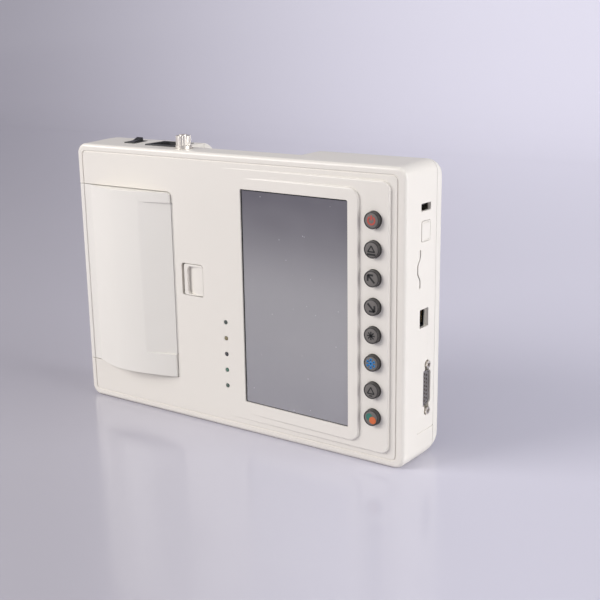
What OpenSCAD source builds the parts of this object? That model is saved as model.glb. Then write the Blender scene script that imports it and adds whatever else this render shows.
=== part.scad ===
// Portable ECG recorder with a built-in strip printer.
// It stands on its long lower edge: +X to the right, the front panel faces -Y, +Z up.
// The origin is the middle of the flat lower edge of the case.
// Inside the modules x counts from the left edge of the case, y from the front face
// backwards and z from the lower edge; placed() moves that corner frame to the origin.

/* [Case] */
// Overall width of the case
case_w = 295; // [288:1:302]
// Overall height of the case as it stands
case_h = 207; // [204:1:216]
// Depth of the case without the raised front areas and the feet
case_d = 52; // [52:0.5:58]
// Wall thickness of both case halves
wall = 2.5; // [2:0.1:2.8]
// Radius of the four outer corners seen from the front
corner_r = 8; // [6:0.5:9]
// Rounding of the front edges
front_r = 2.5; // [1.5:0.1:3]
// Rounding of the two rear side edges
side_back_r = 8; // [5:0.5:9]
// Rounding of the upper rear edge
top_back_r = 14; // [10:0.5:15]
// Rounding of the lower rear edge
base_back_r = 17; // [12:0.5:18]
// How much narrower each side is at the front than at the rear
draft = 1; // [0.5:0.1:1.2]
// Depth at which the front and rear case halves meet
seam_y = 39.5; // [39:0.1:41.5]
// Width of the gap line between the two case halves
seam_gap = 0.3; // [0.2:0.05:0.5]
// Distance of the decorative groove from the front edge
groove_in = 6; // [5:0.1:6.5]
// Width of the decorative groove
groove_w = 1; // [0.6:0.1:1.4]
// Depth of the decorative groove
groove_deep = 0.6; // [0.3:0.1:1]

/* [Front panel] */
// Where the raised panel starts to rise, left of the middle of the glass
panel_out = 72; // [68:0.5:76]
// Distance of the raised panel from the other case edges
panel_in = 9.5; // [8:0.5:11]
// distance of the raised panel from the right side of the case
panel_right_in = 12.5; // [11.5:0.5:14]
// Height of the raised panel at its right edge
panel_rise = 2.1; // [1.2:0.1:3]
// Corner radius of the raised panel
panel_r = 6; // [3:0.5:9]
// Width of the raised display surround
surround_w = 100; // [98:0.5:104]
// Height of the raised display surround
surround_h = 176.5; // [172:0.5:178]
// Extra height of the display surround at its right edge
surround_rise = 1.8; // [1:0.1:2.5]
// Corner radius of the display surround
surround_r = 8; // [4:0.5:11]

/* [Display] */
// Width of the visible glass
glass_w = 91; // [86:0.5:92]
// Height of the visible glass
glass_h = 158.4; // [154:0.4:160]
// Distance of the glass centre from the right edge of the case
glass_in = 89; // [88:0.5:91]
// How far the glass lies below the surround
glass_deep = 1.2; // [0.8:0.1:1.6]
// Thickness of the glass
glass_t = 1.8; // [1:0.1:2]
// Overlap of the glass behind the case all round
glass_lip = 3; // [2:0.2:3.4]
// Width of the liquid-crystal panel
lcd_w = 104; // [100:0.5:105]
// Height of the liquid-crystal panel
lcd_h = 165; // [162:0.5:166]
// Thickness of the liquid-crystal panel
lcd_t = 5.1; // [4:0.1:5.5]
// Thickness of the foam ring behind the glass
foam_t = 1; // [0.5:0.1:1.2]
// Thickness of the sheet-metal display frame
frame_t = 1; // [0.8:0.1:1.4]

/* [Keys] */
// Diameter of a key cap
key_d = 11.4; // [10:0.1:12]
// Distance between neighbouring keys
key_pitch = 19.4; // [19:0.1:20.5]
// Distance of the key column from the right edge of the case
key_in = 24; // [23.5:0.1:24.5]
// How far a key stands proud of the panel
key_proud = 3.2; // [2.4:0.1:3.6]
// Gap between a key and its hole, all round
key_gap = 0.25; // [0.1:0.05:0.4]
// Travel of a key
key_travel = 0.6; // [0.3:0.1:0.8]
// Thickness of the flange behind a key
key_flange_t = 1; // [0.6:0.1:1.2]

/* [Status lights] */
// Column of the status lights, left of the middle of the glass
light_out = 62; // [60:0.5:65]
// Height of the lowest status light
light_z = 33.2; // [32:0.2:36]
// Distance between neighbouring status lights
light_pitch = 12.25; // [11:0.25:13]
// Diameter of a status light
light_d = 3.2; // [2:0.1:4]

/* [Printer door] */
// Right edge of the door, from the left edge of the case
door_right = 95.5; // [95:0.1:96]
// Wall thickness of the door
door_t = 2.2; // [1.8:0.1:2.4]
// Gap round the closed door
door_gap = 0.45; // [0.3:0.05:0.6]
// Rounding of the upper right corner of the door
door_corner_r = 3; // [1:0.5:5]
// Where the hood starts to rise, from the left edge
hood_start = 13; // [11:0.5:15]
// Where the hood is highest, from the left edge
hood_peak = 48.6; // [46:0.2:52]
// Height of the hood above the front face
hood_rise = 10; // [9:0.25:12]
// Length over which the hood would fall back to the front face
hood_fall = 52; // [50:0.5:54]
// Radius of the rolled hinge edge of the door
hinge_r = 3.4; // [3:0.1:3.6]
// Depth of the hinge axis behind the front face
hinge_y = 10; // [9.5:0.1:11]
// Diameter of the hinge pins
hinge_pin_d = 3; // [2:0.1:3.2]
// Length of each hinge pin
hinge_pin_l = 20; // [14:0.5:24]
// Radial clearance of a pin or shaft in its bore
fit = 0.05; // [0.02:0.01:0.1]
// Left end of the paper ramp, from the left edge
ramp_left = 71; // [68:0.5:74]
// Upper and lower margin of the paper ramp beyond the paper
ramp_margin = 3.75; // [2:0.25:4]
// Extra width of the paper slot beyond the door gap
slot_extra = 1; // [0.6:0.1:1.4]

/* [Printer] */
// Width of the recording paper
paper_w = 110; // [108:0.5:110]
// Lower edge of the paper above the lower edge of the door
paper_low = 21.5; // [21:0.1:22]
// Upper edge of the paper below the upper edge of the door
paper_high = 11.5; // [11:0.1:12]
// Diameter of the paper roll
roll_d = 44; // [30:0.5:46]
// Column of the roll axis, from the left edge
roll_x = 38; // [36:0.5:38.5]
// Depth of the roll axis behind the front face
roll_y = 20; // [19:0.25:20.5]
// Diameter of the spindle through the roll
spindle_d = 12; // [10:0.5:14]
// Diameter of the two spindle journals
journal_d = 6; // [4:0.25:8]
// Diameter of the rubber platen
platen_d = 12; // [10:0.25:12.5]
// Column of the platen axis, from the left edge
platen_x = 85; // [84.5:0.1:85.5]
// Depth of the platen axis behind the front face
platen_y = 6.5; // [6.3:0.1:7]
// Diameter of the platen shaft
shaft_d = 5; // [4:0.25:6]
// Outer diameter of the plain bushes on the platen shaft
bush_d = 8; // [7:0.25:9]
// Thickness of the two door ears that carry the platen
ear_t = 2; // [1.6:0.1:2.2]
// Gap left for the paper between the platen and the print head
head_gap = 0.3; // [0.2:0.05:0.5]
// Wall thickness of the paper bay
bay_t = 1.6; // [1.2:0.1:2]
// Depth of the floor of the paper bay behind the front face
bay_floor = 44.5; // [44:0.25:45]
// Module of the drive gears
gear_m = 0.8; // [0.78:0.01:0.82]
// Width of the drive gears
gear_w = 5; // [3:0.25:5]
// Diameter of the feed motor
motor_d = 18; // [14:0.5:18.5]
// Length of the feed motor
motor_l = 28; // [20:0.5:34]

/* [Door latch] */
// Left side of the latch opening, from the left edge
latch_left = 103.4; // [103:0.1:104.5]
// Width of the latch opening
latch_w = 20.4; // [19.5:0.1:21]
// Height of the latch opening
latch_h = 24.5; // [20:0.5:28]
// Height of the middle of the latch opening
latch_z = 110.3; // [106:0.1:114]
// Travel of the latch
latch_travel = 2; // [1.5:0.1:2.2]
// Thickness of the hook arms along the case
hook_h = 3.2; // [2.6:0.1:3.4]
// Wire diameter of the latch spring
latch_wire = 0.6; // [0.4:0.05:0.8]

/* [Side sockets] */
// Depth of the middle of the memory-stick socket
usb_y = 25; // [24.9:0.1:26.5]
// Distance of that socket from the top of the case
usb_down = 29.5; // [28.5:0.5:32]
// Width of the card slot
card_w = 26; // [24.5:0.5:27]
// Height of the middle of the card slot
card_z = 136.6; // [135:0.2:138]
// Height of the middle of the network socket
lan_z = 102; // [100:0.2:104]
// Height of the middle of the patient socket
patient_z = 51.2; // [50:0.1:53]
// Depth of the middle of the patient socket
patient_y = 29.6; // [29.5:0.05:29.7]
// Height of the middle of the blank socket cover
blank_z = 161.4; // [160:0.1:162.5]

/* [Upper edge] */
// Column of the middle of the mains inlet
inlet_x = 76; // [75:0.5:78]
// Depth of the middle of the mains inlet
inlet_y = 24; // [23:0.5:26]
// Column of the middle of the power switch
switch_x = 42.5; // [38:0.5:46]
// Depth of the middle of the power switch
switch_y = 23; // [20:0.5:26]
// Column of the equipotential post
post_x = 101; // [100:0.5:103]
// Depth of the equipotential post
post_y = 11; // [10:0.25:11.5]
// Left end of the grip recess
grip_left = 97; // [96:0.5:104]
// Length of the grip recess
grip_w = 106; // [96:0.5:108]
// Depth of the front wall of the grip recess
grip_y = 18; // [17.5:0.25:20]
// Depth of the grip recess below the top
grip_deep = 18; // [14:0.5:18.5]

/* [Power] */
// Width of the battery pack
battery_w = 88; // [80:0.5:90]
// Height of the battery pack
battery_h = 70; // [60:0.5:71]
// Thickness of the battery pack
battery_t = 20; // [16:0.5:21]
// Width of the power supply
supply_w = 64; // [56:0.5:66]
// Height of the power supply
supply_h = 71; // [60:0.5:72]
// Diameter of a rear foot
foot_d = 16; // [12:0.5:18]
// Height of a rear foot
foot_h = 2.5; // [1.5:0.25:4]

/* [Hidden] */
$fn = 48;
// flat lead-in behind the front face and the depth where the sides reach full width
nose_y = 4;
flare_y = 30;
// how far the lip of the rear half reaches into the front half, and its thickness
lip_deep = 2;
lip_t = 1.2;
lip_gap = 0.25;
key_count = 8;
light_count = 5;
// height of the front face, which is lower than the whole case by the draft
face_h = case_h - draft;
glass_x = case_w - glass_in;
glass_z = face_h / 2;
panel_left = glass_x - panel_out;
light_x = glass_x - light_out;
key_x = case_w - key_in;
key_y = -panel_rise * (key_x - panel_left) / (case_w - panel_right_in - panel_left);
key_flange_d = key_d + 1.6;
key_flange_y = wall;
surround_left = glass_x + 4 - surround_w / 2;
surround_z = glass_z - 0.5;
surround_tilt = atan((panel_rise_at(surround_left + surround_w) + surround_rise
                      - panel_rise_at(surround_left)) / surround_w);
surround_mid = (panel_rise_at(surround_left) + panel_rise_at(surround_left + surround_w)
                + surround_rise) / 2;
// depths in the display's own frame, behind the face of the surround
glass_back = glass_deep + glass_t;
lcd_front = glass_back + foam_t;
lcd_back = lcd_front + lcd_t;
frame_back = lcd_back + frame_t;
lcd_gap = 0.4;
frame_post_x = 35;
frame_post_z = surround_h / 2 - 0.8;
frame_post_r = 3;
board_t = 1.6;
key_board_y = 7;
key_switch_h = 2.1;
door_h = paper_low + paper_w + paper_high;
door_low = (face_h - door_h) / 2;
door_top = door_low + door_h;
hinge_x = draft + hinge_r;
// length of each rolled hinge end that a pin reaches into
pin_z_low = door_low - door_gap - hinge_pin_l / 2;
pin_z_high = door_top + door_gap + hinge_pin_l / 2;
paper_z = door_low + paper_low;
ramp_low = paper_z - ramp_margin;
ramp_top = paper_z + paper_w + ramp_margin;
ramp_y = 0.4;
slot_right = door_right + door_gap + slot_extra;
// the bay is a tray whose open side lies just behind the front wall
bay_left = hinge_x + hinge_r + 2.2;
bay_right = door_right - 1.3;
bay_low = door_low + 2.7;
bay_top = door_top - 2.7;
bay_rim_y = wall + 0.2;
bay_side_y = 13.6;
// drive train below the paper, from the bottom up: hooks, gears, ear
gear_z = door_low + 9.9;
ear_low = gear_z + gear_w + 1;
ear_top = paper_z + paper_w + 1.7;
platen_teeth = 16;
idler_teeth = 26;
pinion_teeth = 10;
motor_x = platen_x - 11;
motor_y = bay_floor - motor_d / 2 - 0.3;
mesh_platen = gear_m * (platen_teeth + idler_teeth) / 2 + 0.1;
mesh_pinion = gear_m * (idler_teeth + pinion_teeth) / 2 + 0.1;
train = norm([motor_x - platen_x, motor_y - platen_y]);
train_dir = [motor_x - platen_x, motor_y - platen_y] / train;
train_side = [-train_dir[1], train_dir[0]];
idler_along = (mesh_platen * mesh_platen - mesh_pinion * mesh_pinion + train * train) / 2 / train;
idler_out = sqrt(mesh_platen * mesh_platen - idler_along * idler_along);
idler_xy = [platen_x, platen_y] + idler_along * train_dir + idler_out * train_side;
idler_pin_d = 3;
motor_shaft_d = 2.5;
plate_t = 1.5;
head_y = platen_y + platen_d / 2 + head_gap;
head_t = 1;
sink_t = 5;
shelf_y = head_y + head_t + sink_t + 4.6;
// the latch bar runs behind the front wall beside the door
bar_x = door_right + 3.2;
bar_w = 4;
bar_y = wall + 2.7;
bar_t = 2.4;
hook_low_z = door_low + 3.6;
hook_top_z = door_top - 6.6;
hook_y = bar_y + bar_t;
hook_nose_y = 3.4;
hook_reach = 12.4;
lug_x = door_right - 5;
button_w = latch_w - latch_travel - 0.6;
button_x = latch_left + latch_travel + 0.4;
button_h = latch_h - 0.8;
spring_r = 2.4;
spring_l = 9;
spring_stop = bar_x + bar_w + latch_travel + 0.6;
spring_pad = spring_stop + 2.5 + spring_l;
spring_y = hook_y + 2.7;
spring_z = latch_z + latch_h / 2 + 22;
// sockets on the right side
socket_face = case_w - 1.6;
main_y = 16;
main_left = glass_x - 59;
main_right = case_w - 9;
main_low = 22;
main_top = case_h - 26;
// parts on the main board, as [x, z, width, height, thickness] from its lower left corner
main_parts = [[43, 88, 24, 24, 1.8], [75, 94, 14, 12, 1.2], [29, 38, 8, 40, 4]];
ecg_y = patient_y - 6.25 - board_t;
ecg_right = main_right - 1;
ecg_left = ecg_right - 60;
ecg_low = 20;
ecg_top = 84;
ecg_plug_w = 6;
ecg_plug_in = 12;
shield_t = 8;
shield_wall = 0.5;
shield_in = 4;
shield_low = 6;
shield_w = 44;
port_flange_l = 39.2;
port_flange_h = 12.5;
port_screw = 33.3;
port_shell_l = 24.99;
port_shell_h = 8.36;
port_l = 13;
lan_h = 16;
lan_d = 13.4;
lan_l = 21;
usb_w = 14.4;
usb_h = 7;
usb_l = 17;
usb_z = case_h - usb_down;
blank_w = 11.6;
blank_h = 14;
blank_y = 25;
card_y = main_y + board_t;
card_t = 2.9;
// upper edge
inlet_w = 27;
inlet_d = 20;
inlet_deep = 22;
switch_w = 10.5;
switch_d = 15;
switch_deep = 12;
post_base_z = face_h;
grip_floor = case_h - grip_deep;
grip_right = grip_left + grip_w;
grip_wall = 2.2;
// power pieces at the rear
rear_in = case_d - wall;
battery_x = 112;
battery_z = 21;
hatch_margin = 4;
hatch_t = 1.8;
supply_x = 106;
supply_z = 98;
supply_y = 29;
foot_x = 30;
foot_z = 22;
foot_seat = 0.6;
// case screws, as [x, z]
screw_d = 3;
screw_r = 4;
screw_head_d = 5.8;
screw_head_t = 2.4;
screw_sink = 4;
screw_l = 16;
screw_in = 14;
screw_high = case_h - 18.5;
boss_y = 42;
screw_places = [[screw_in, screw_in + 1], [screw_in, screw_high], [battery_x - 10, screw_in],
                [panel_left + 6, case_h - 31], [case_w - screw_in + 1, screw_in],
                [case_w - screw_in + 1, screw_high]];
// board pillars between the main board and the rear wall, as [x, z]
pillar_r = 2.5;
pillar_in = 6;
pillar_high = main_top - 3;
pillar_places = [[glass_x + 4, main_low + pillar_in], [glass_x + 4, pillar_high],
                 [main_left + pillar_in, pillar_high], [case_w - 30, pillar_high],
                 [case_w - 30, ecg_top + 8], [main_left + 4, battery_z + battery_h + 3.5]];

function panel_rise_at(x) = panel_rise * (x - panel_left) / (case_w - panel_right_in - panel_left);
function hood_y(x) = x < hood_start ? 0 : x < hood_peak
    ? -hood_rise * sin(90 * (x - hood_start) / (hood_peak - hood_start))
    : -hood_rise * cos(90 * (x - hood_peak) / hood_fall);

// ---- shared helpers ----

module placed() translate([-case_w / 2, -case_d / 2, 0]) children();

// a 2D shape in x and y, raised along z
module along_z(z0, z1) translate([0, 0, z0]) linear_extrude(z1 - z0) children();

// a 2D shape in x and z, running from y0 back to y1
module along_y(y0, y1) translate([0, y1, 0]) rotate([90, 0, 0]) linear_extrude(y1 - y0) children();

// a 2D shape in y and z, running from x0 to x1
module along_x(x0, x1) translate([x0, 0, 0]) rotate([90, 0, 90]) linear_extrude(x1 - x0) children();

module block(x0, x1, y0, y1, z0, z1) translate([x0, y0, z0]) cube([x1 - x0, y1 - y0, z1 - z0]);

module rod_z(x, y, z0, z1, d) translate([x, y, z0]) cylinder(h = z1 - z0, d = d);

module rod_y(x, z, y0, y1, d) translate([x, y1, z]) rotate([90, 0, 0]) cylinder(h = y1 - y0, d = d);

module rod_x(y, z, x0, x1, d) translate([x0, y, z]) rotate([0, 90, 0]) cylinder(h = x1 - x0, d = d);

// a rectangle with round corners, from its low corner
module rounded(x, y, w, h, r) {
    translate([x + r, y]) square([w - 2 * r, h]);
    translate([x, y + r]) square([w, h - 2 * r]);
    for (cx = [x + r, x + w - r], cy = [y + r, y + h - r]) translate([cx, cy]) circle(r);
}

module rounded_mid(x, y, w, h, r) rounded(x - w / 2, y - h / 2, w, h, r);

// what is taken off a square corner at (x, y) to round it; turn says which corner
module corner_off(x, y, turn, r) {
    translate([x, y]) rotate(turn) difference() {
        translate([-1, -1]) square(r + 1);
        translate([r, r]) circle(r);
    }
}

// a spring along z, its wire swept round as one skin
module coil_spring(r, wire, turns, length) {
    sides = 6;
    steps = 14;
    rings = turns * steps;
    pitch = (length - wire) / turns;
    points = [for (i = [0:rings], j = [0:sides - 1])
        let (a = 360 * i / steps, b = 360 * j / sides, q = r + wire / 2 * cos(b))
        [q * cos(a), q * sin(a), wire / 2 + pitch * i / steps + wire / 2 * sin(b)]];
    skin = [for (i = [0:rings - 1], j = [0:sides - 1])
        let (k = (j + 1) % sides, low = i * sides, high = low + sides)
        [low + j, low + k, high + k, high + j]];
    polyhedron(points, concat([[for (j = [sides - 1:-1:0]) j]],
                              [[for (j = [0:sides - 1]) rings * sides + j]],
                              [for (q = skin) [q[3], q[2], q[1], q[0]]]), convexity = 6);
}

// a spur gear along z whose first tooth points at the angle start
module gear(teeth, width, bore_r, start) {
    pitch_r = gear_m * teeth / 2;
    root_r = pitch_r - 1.25 * gear_m;
    tip_r = pitch_r + 0.85 * gear_m;
    root_half = 0.95 * gear_m;
    pitch_half = 0.70 * gear_m;
    tip_half = 0.34 * gear_m;
    difference() {
        linear_extrude(width) {
            circle(root_r);
            for (i = [0:teeth - 1]) rotate(start + 360 * i / teeth)
                polygon([[root_r - 0.4, -root_half], [pitch_r, -pitch_half], [tip_r, -tip_half],
                         [tip_r, tip_half], [pitch_r, pitch_half], [root_r - 0.4, root_half]]);
        }
        translate([0, 0, -1]) cylinder(h = width + 2, r = bore_r);
    }
}

// ---- case ----

module front_outline(t) rounded(t, t, case_w - 2 * t, case_h - 2 * t, corner_r - t);

module plan_outline(t) {
    edge = draft + t;
    nose_r = max(front_r - t, 0.4);
    rear_r = side_back_r - t;
    difference() {
        polygon([[edge, t], [case_w - edge, t], [case_w - edge, nose_y], [case_w - t, flare_y],
                 [case_w - t, case_d - t], [t, case_d - t], [t, flare_y], [edge, nose_y]]);
        corner_off(edge, t, 0, nose_r);
        corner_off(case_w - edge, t, 90, nose_r);
        corner_off(case_w - t, case_d - t, 180, rear_r);
        corner_off(t, case_d - t, 270, rear_r);
    }
}

module side_outline(t) {
    nose_r = max(front_r - t, 0.4);
    difference() {
        polygon([[t, t], [case_d - t, t], [case_d - t, case_h - t], [flare_y, case_h - t],
                 [nose_y, face_h - t], [t, face_h - t]]);
        corner_off(t, t, 0, nose_r);
        corner_off(case_d - t, t, 90, base_back_r - t);
        corner_off(case_d - t, case_h - t, 180, top_back_r - t);
        corner_off(t, face_h - t, 270, nose_r);
    }
}

// the form of the whole case, drawn in by t on every side
module case_form(t) {
    intersection() {
        along_z(t, case_h - t) plan_outline(t);
        along_x(t, case_w - t) side_outline(t);
        along_y(t, case_d - t) front_outline(t);
    }
}

// the grip recess seen from the front; grow widens it on every side
module grip_outline(grow) {
    polygon([[grip_left - grow, case_h + 5], [grip_left - grow, case_h - 3],
             [grip_left + 4 - grow, grip_floor - grow],
             [grip_right - 25 + grow, grip_floor - grow],
             [grip_right - 17 + grow, case_h - 5.5 - grow],
             [grip_right + grow, case_h - grow / 2], [grip_right + grow, case_h + 5]]);
}

// both halves before they are parted, without the openings
module case_shell() {
    difference() {
        union() {
            difference() {
                case_form(0);
                case_form(wall);
            }
            intersection() {
                case_form(wall / 2);
                along_y(grip_y - grip_wall, case_d) grip_outline(grip_wall);
            }
        }
        along_y(grip_y, case_d + 1) grip_outline(0);
    }
}

// the wedge of a raised area: a strip in x and y that grows from y0 to y1
module wedge(x0, x1, y0, y1) polygon([[x0, y0], [x1, y1], [x1, wall], [x0, wall]]);

module raised_panel() {
    right = case_w - panel_right_in;
    intersection() {
        along_y(-20, wall) rounded(panel_left - 20, panel_in, right - panel_left + 20,
                                   face_h - 2 * panel_in, panel_r);
        along_z(0, case_h) wedge(panel_left, right, 0, -panel_rise);
    }
}

module raised_surround() {
    right = surround_left + surround_w;
    intersection() {
        along_y(-20, wall) rounded_mid((surround_left + right) / 2, surround_z,
                                       surround_w, surround_h, surround_r);
        along_z(0, case_h) wedge(surround_left, right, -panel_rise_at(surround_left),
                                 -panel_rise_at(right) - surround_rise);
    }
}

// the display's own frame: x and z from the glass centre, y behind the surround's face
module on_display() {
    middle = surround_left + surround_w / 2;
    shift = (glass_x - middle) * tan(surround_tilt);
    translate([glass_x, -surround_mid - shift, glass_z]) rotate([0, 0, -surround_tilt]) children();
}

// decorative groove round the front face, also cut into the door
module rim_groove() {
    low = groove_in;
    groove_r = 4;
    left = draft + groove_in;
    along_y(-1, groove_deep) difference() {
        rounded(left, low, case_w - 2 * left, face_h - 2 * low, groove_r);
        rounded(left + groove_w, low + groove_w, case_w - 2 * (left + groove_w),
                face_h - 2 * (low + groove_w), groove_r - groove_w);
    }
}

module door_opening() {
    low = door_low - door_gap;
    high = door_top + door_gap;
    along_y(-1, wall + 1) difference() {
        translate([-1, low]) square([door_right + door_gap + 1, high - low]);
        corner_off(door_right + door_gap, high, 180, door_corner_r + door_gap);
    }
    block(-1, hinge_x + hinge_r + 0.5, -1, hinge_y + hinge_r + 0.5, low, high);
    block(door_right, slot_right, -1, wall + 1, ramp_low, ramp_top);
}

module key_places() for (i = [0:key_count - 1])
    translate([key_x, 0, face_h / 2 + (key_count - 1) / 2 * key_pitch - i * key_pitch]) children();

module light_places() for (i = [0:light_count - 1])
    translate([light_x, 0, light_z + i * light_pitch]) children();

module d_outline(grow) {
    long = port_shell_l / 2 + grow;
    tall = port_shell_h / 2 + grow;
    polygon([[-tall, -long], [tall, -long + 1.2], [tall, long - 1.2], [-tall, long]]);
}

// openings for the sockets in the right side
module side_openings() {
    x0 = socket_face - 1.5;
    along_x(x0, case_w + 1) {
        rounded_mid(usb_y, usb_z, usb_w + 0.4, usb_h + 0.4, 0.4);
        rounded_mid(blank_y, blank_z, blank_w, blank_h, 1.5);
        rounded_mid(card_y + card_t / 2, card_z, card_t + 0.3, card_w, 1);
        rounded_mid(card_y + lan_d / 2, lan_z, lan_d + 0.4, lan_h + 0.4, 0.4);
        rounded_mid(patient_y, patient_z, port_flange_h + 0.4, port_flange_l + 0.4, 1);
    }
    along_x(case_w - wall - 1, case_w + 1) {
        rounded_mid(usb_y, usb_z, usb_w + 0.4, usb_h + 0.4, 0.4);
        rounded_mid(blank_y, blank_z, blank_w - 2, blank_h - 2, 1);
        rounded_mid(card_y + card_t / 2, card_z, card_t + 0.3, card_w, 1);
        rounded_mid(card_y + lan_d / 2, lan_z, lan_d + 0.4, lan_h + 0.4, 0.4);
        rounded_mid(patient_y, patient_z, port_flange_h + 0.4, port_flange_l + 0.4, 1);
    }
    // thumb notch at the card slot
    translate([case_w + 4, card_y, card_z]) rotate([90, 0, 0])
        cylinder(h = 6, r = 6, center = true);
}

module inlet_opening(grow) block(inlet_x - inlet_w / 2 - grow, inlet_x + inlet_w / 2 + grow,
                                 inlet_y - inlet_d / 2 - grow, inlet_y + inlet_d / 2 + grow,
                                 case_h - 12, case_h + 3);

module front_case() {
    color("whitesmoke") difference() {
        union() {
            intersection() {
                case_shell();
                block(-1, case_w + 1, -1, seam_y - seam_gap / 2, -1, case_h + 1);
            }
            raised_panel();
            raised_surround();
            // bosses for the case screws
            for (p = screw_places) rod_y(p[0], p[1], wall - 0.5, boss_y, 2 * screw_r);
            // lugs for the hinge pins
            for (z = [[pin_z_low - 1.5, door_low - door_gap], [door_top + door_gap, pin_z_high + 1.5]]) {
                rod_z(hinge_x, hinge_y, z[0], z[1], 2 * hinge_r);
                block(draft + 0.6, hinge_x + 1.5, hinge_y, hinge_y + hinge_r, z[0], z[1]);
            }
            // posts for the display frame
            intersection() {
                on_display() for (x = [-frame_post_x, frame_post_x], z = [-frame_post_z, frame_post_z])
                    rod_y(x, z, glass_deep + 1, lcd_back, 2 * frame_post_r);
                block(0, case_w, wall - 0.5, case_d, 0, case_h);
            }
            // posts for the key board and the light board
            for (k = [-key_count / 2, 0, key_count / 2])
                rod_y(key_x, face_h / 2 + k * key_pitch, wall - 0.5, key_board_y, 3.6);
            for (z = [light_z - 6.5, light_z + (light_count - 1) * light_pitch + 6.5])
                rod_y(light_x, z, wall - 0.5, key_board_y + 1, 4);
            // bridge that the latch spring pushes against; the arm of the latch runs through it
            difference() {
                block(spring_stop, spring_stop + 2.5, wall - 0.5, spring_y + 3, spring_z - 7, spring_z + 7);
                block(spring_stop - 1, spring_stop + 4, bar_y - 0.4, hook_y + 0.4,
                      spring_z - 4.4, spring_z + 4.4);
            }
        }
        rim_groove();
        door_opening();
        for (p = screw_places) rod_y(p[0], p[1], boss_y - screw_l, boss_y + 1, screw_d + 2 * fit);
        for (z = [pin_z_low, pin_z_high]) rod_z(hinge_x, hinge_y, z - hinge_pin_l / 2,
                                               z + hinge_pin_l / 2, hinge_pin_d + 2 * fit);
        // latch
        along_y(-9, wall + 1) rounded(latch_left, latch_z - latch_h / 2, latch_w, latch_h, 2);
        // display
        on_display() {
            along_y(-3, lcd_front) rounded_mid(0, 0, glass_w, glass_h, 1);
            along_y(glass_deep, 12) rounded_mid(0, 0, glass_w + 2 * glass_lip + lcd_gap,
                                                glass_h + 2 * glass_lip + lcd_gap, 1);
            along_y(lcd_front - 0.05, 12) rounded_mid(0, 0, lcd_w + lcd_gap, lcd_h + lcd_gap, 0.2);
        }
        key_places() rod_y(0, 0, -9, wall + 1, key_d + 2 * key_gap);
        light_places() rod_y(0, 0, -9, wall + 1, light_d + 0.2);
        side_openings();
        inlet_opening(0.2);
        block(switch_x - switch_w / 2 + 1, switch_x + switch_w / 2 - 1, switch_y - switch_d / 2 + 1,
              switch_y + switch_d / 2 - 1, case_h - 12, case_h + 3);
        rod_z(post_x, post_y, case_h - 12, case_h + 3, 6.4);
        rod_z(post_x, post_y, post_base_z, case_h + 3, 14);
        // seats that give the inlet and switch flanges a level place
        block(inlet_x - inlet_w / 2 - 1.5, inlet_x + inlet_w / 2 + 1.5, inlet_y - inlet_d / 2 - 1.5,
              inlet_y + inlet_d / 2 + 1.5, face_h, case_h + 3);
        block(switch_x - switch_w / 2 - 0.3, switch_x + switch_w / 2 + 0.3, switch_y - switch_d / 2 - 0.3,
              switch_y + switch_d / 2 + 0.3, face_h, case_h + 3);
        // short line below the patient socket
        block(case_w - 0.5, case_w + 1, 18, seam_y + 1, 20.3, 20.9);
    }
}

module rear_case() {
    hatch = [battery_x - hatch_margin, battery_z - hatch_margin,
             battery_w + 2 * hatch_margin, battery_h + 2 * hatch_margin];
    color("gainsboro") difference() {
        union() {
            intersection() {
                case_shell();
                block(-1, case_w + 1, seam_y + seam_gap / 2, case_d + 1, -1, case_h + 1);
            }
            // lip that reaches into the front half
            difference() {
                intersection() {
                    case_form(wall + lip_gap);
                    block(0, case_w, seam_y - lip_deep, seam_y + 2, 0, case_h);
                }
                case_form(wall + lip_gap + lip_t);
                along_y(grip_y, case_d) grip_outline(grip_wall + 0.4);
                block(case_w - 8, case_w, seam_y - lip_deep - 1, seam_y + 2,
                      patient_z - port_flange_l / 2 - 1, patient_z + port_flange_l / 2 + 1);
                for (p = screw_places) rod_y(p[0], p[1], wall, boss_y, 2 * screw_r + 0.6);
            }
            difference() {
                intersection() {
                    case_form(wall / 2);
                    block(0, case_w, seam_y + 0.5, seam_y + 3, 0, case_h);
                }
                case_form(wall + lip_gap + lip_t);
            }
            for (p = screw_places) rod_y(p[0], p[1], boss_y, rear_in + 0.5, 2 * screw_r + 1);
            // ribs behind the paper bay
            for (p = [[30, 60], [30, 150], [80, 105]])
                rod_y(p[0], p[1], bay_floor + bay_t, rear_in + 0.5, 6);
        }
        for (p = screw_places) {
            rod_y(p[0], p[1], 41, case_d + 1, screw_d + 0.4);
            rod_y(p[0], p[1], case_d - screw_sink, case_d + 1, screw_head_d + 0.4);
        }
        along_y(grip_y, case_d + 1) grip_outline(0);
        // battery opening with a ledge for the hatch
        along_y(rear_in - 1, case_d + 1) rounded(hatch[0] + 2, hatch[1] + 2, hatch[2] - 4, hatch[3] - 4, 3);
        along_y(case_d - hatch_t, case_d + 1) rounded(hatch[0], hatch[1], hatch[2], hatch[3], 4);
        for (x = [foot_x, case_w - foot_x], z = [foot_z, case_h - foot_z])
            rod_y(x, z, case_d - foot_seat, case_d + 1, foot_d + 0.2);
    }
}

module case_screws() {
    head_y = case_d - screw_sink;
    color("silver") for (p = screw_places) difference() {
        union() {
            rod_y(p[0], p[1], boss_y - screw_l + 1, head_y + 0.5, screw_d);
            rod_y(p[0], p[1], head_y, head_y + screw_head_t, screw_head_d);
        }
        along_y(head_y + 1, case_d) {
            translate(p) square([3.4, 0.8], center = true);
            translate(p) square([0.8, 3.4], center = true);
        }
    }
}

module feet() {
    color("dimgray") for (x = [foot_x, case_w - foot_x], z = [foot_z, case_h - foot_z])
        rod_y(x, z, case_d - foot_seat, case_d + foot_h, foot_d);
}

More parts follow.
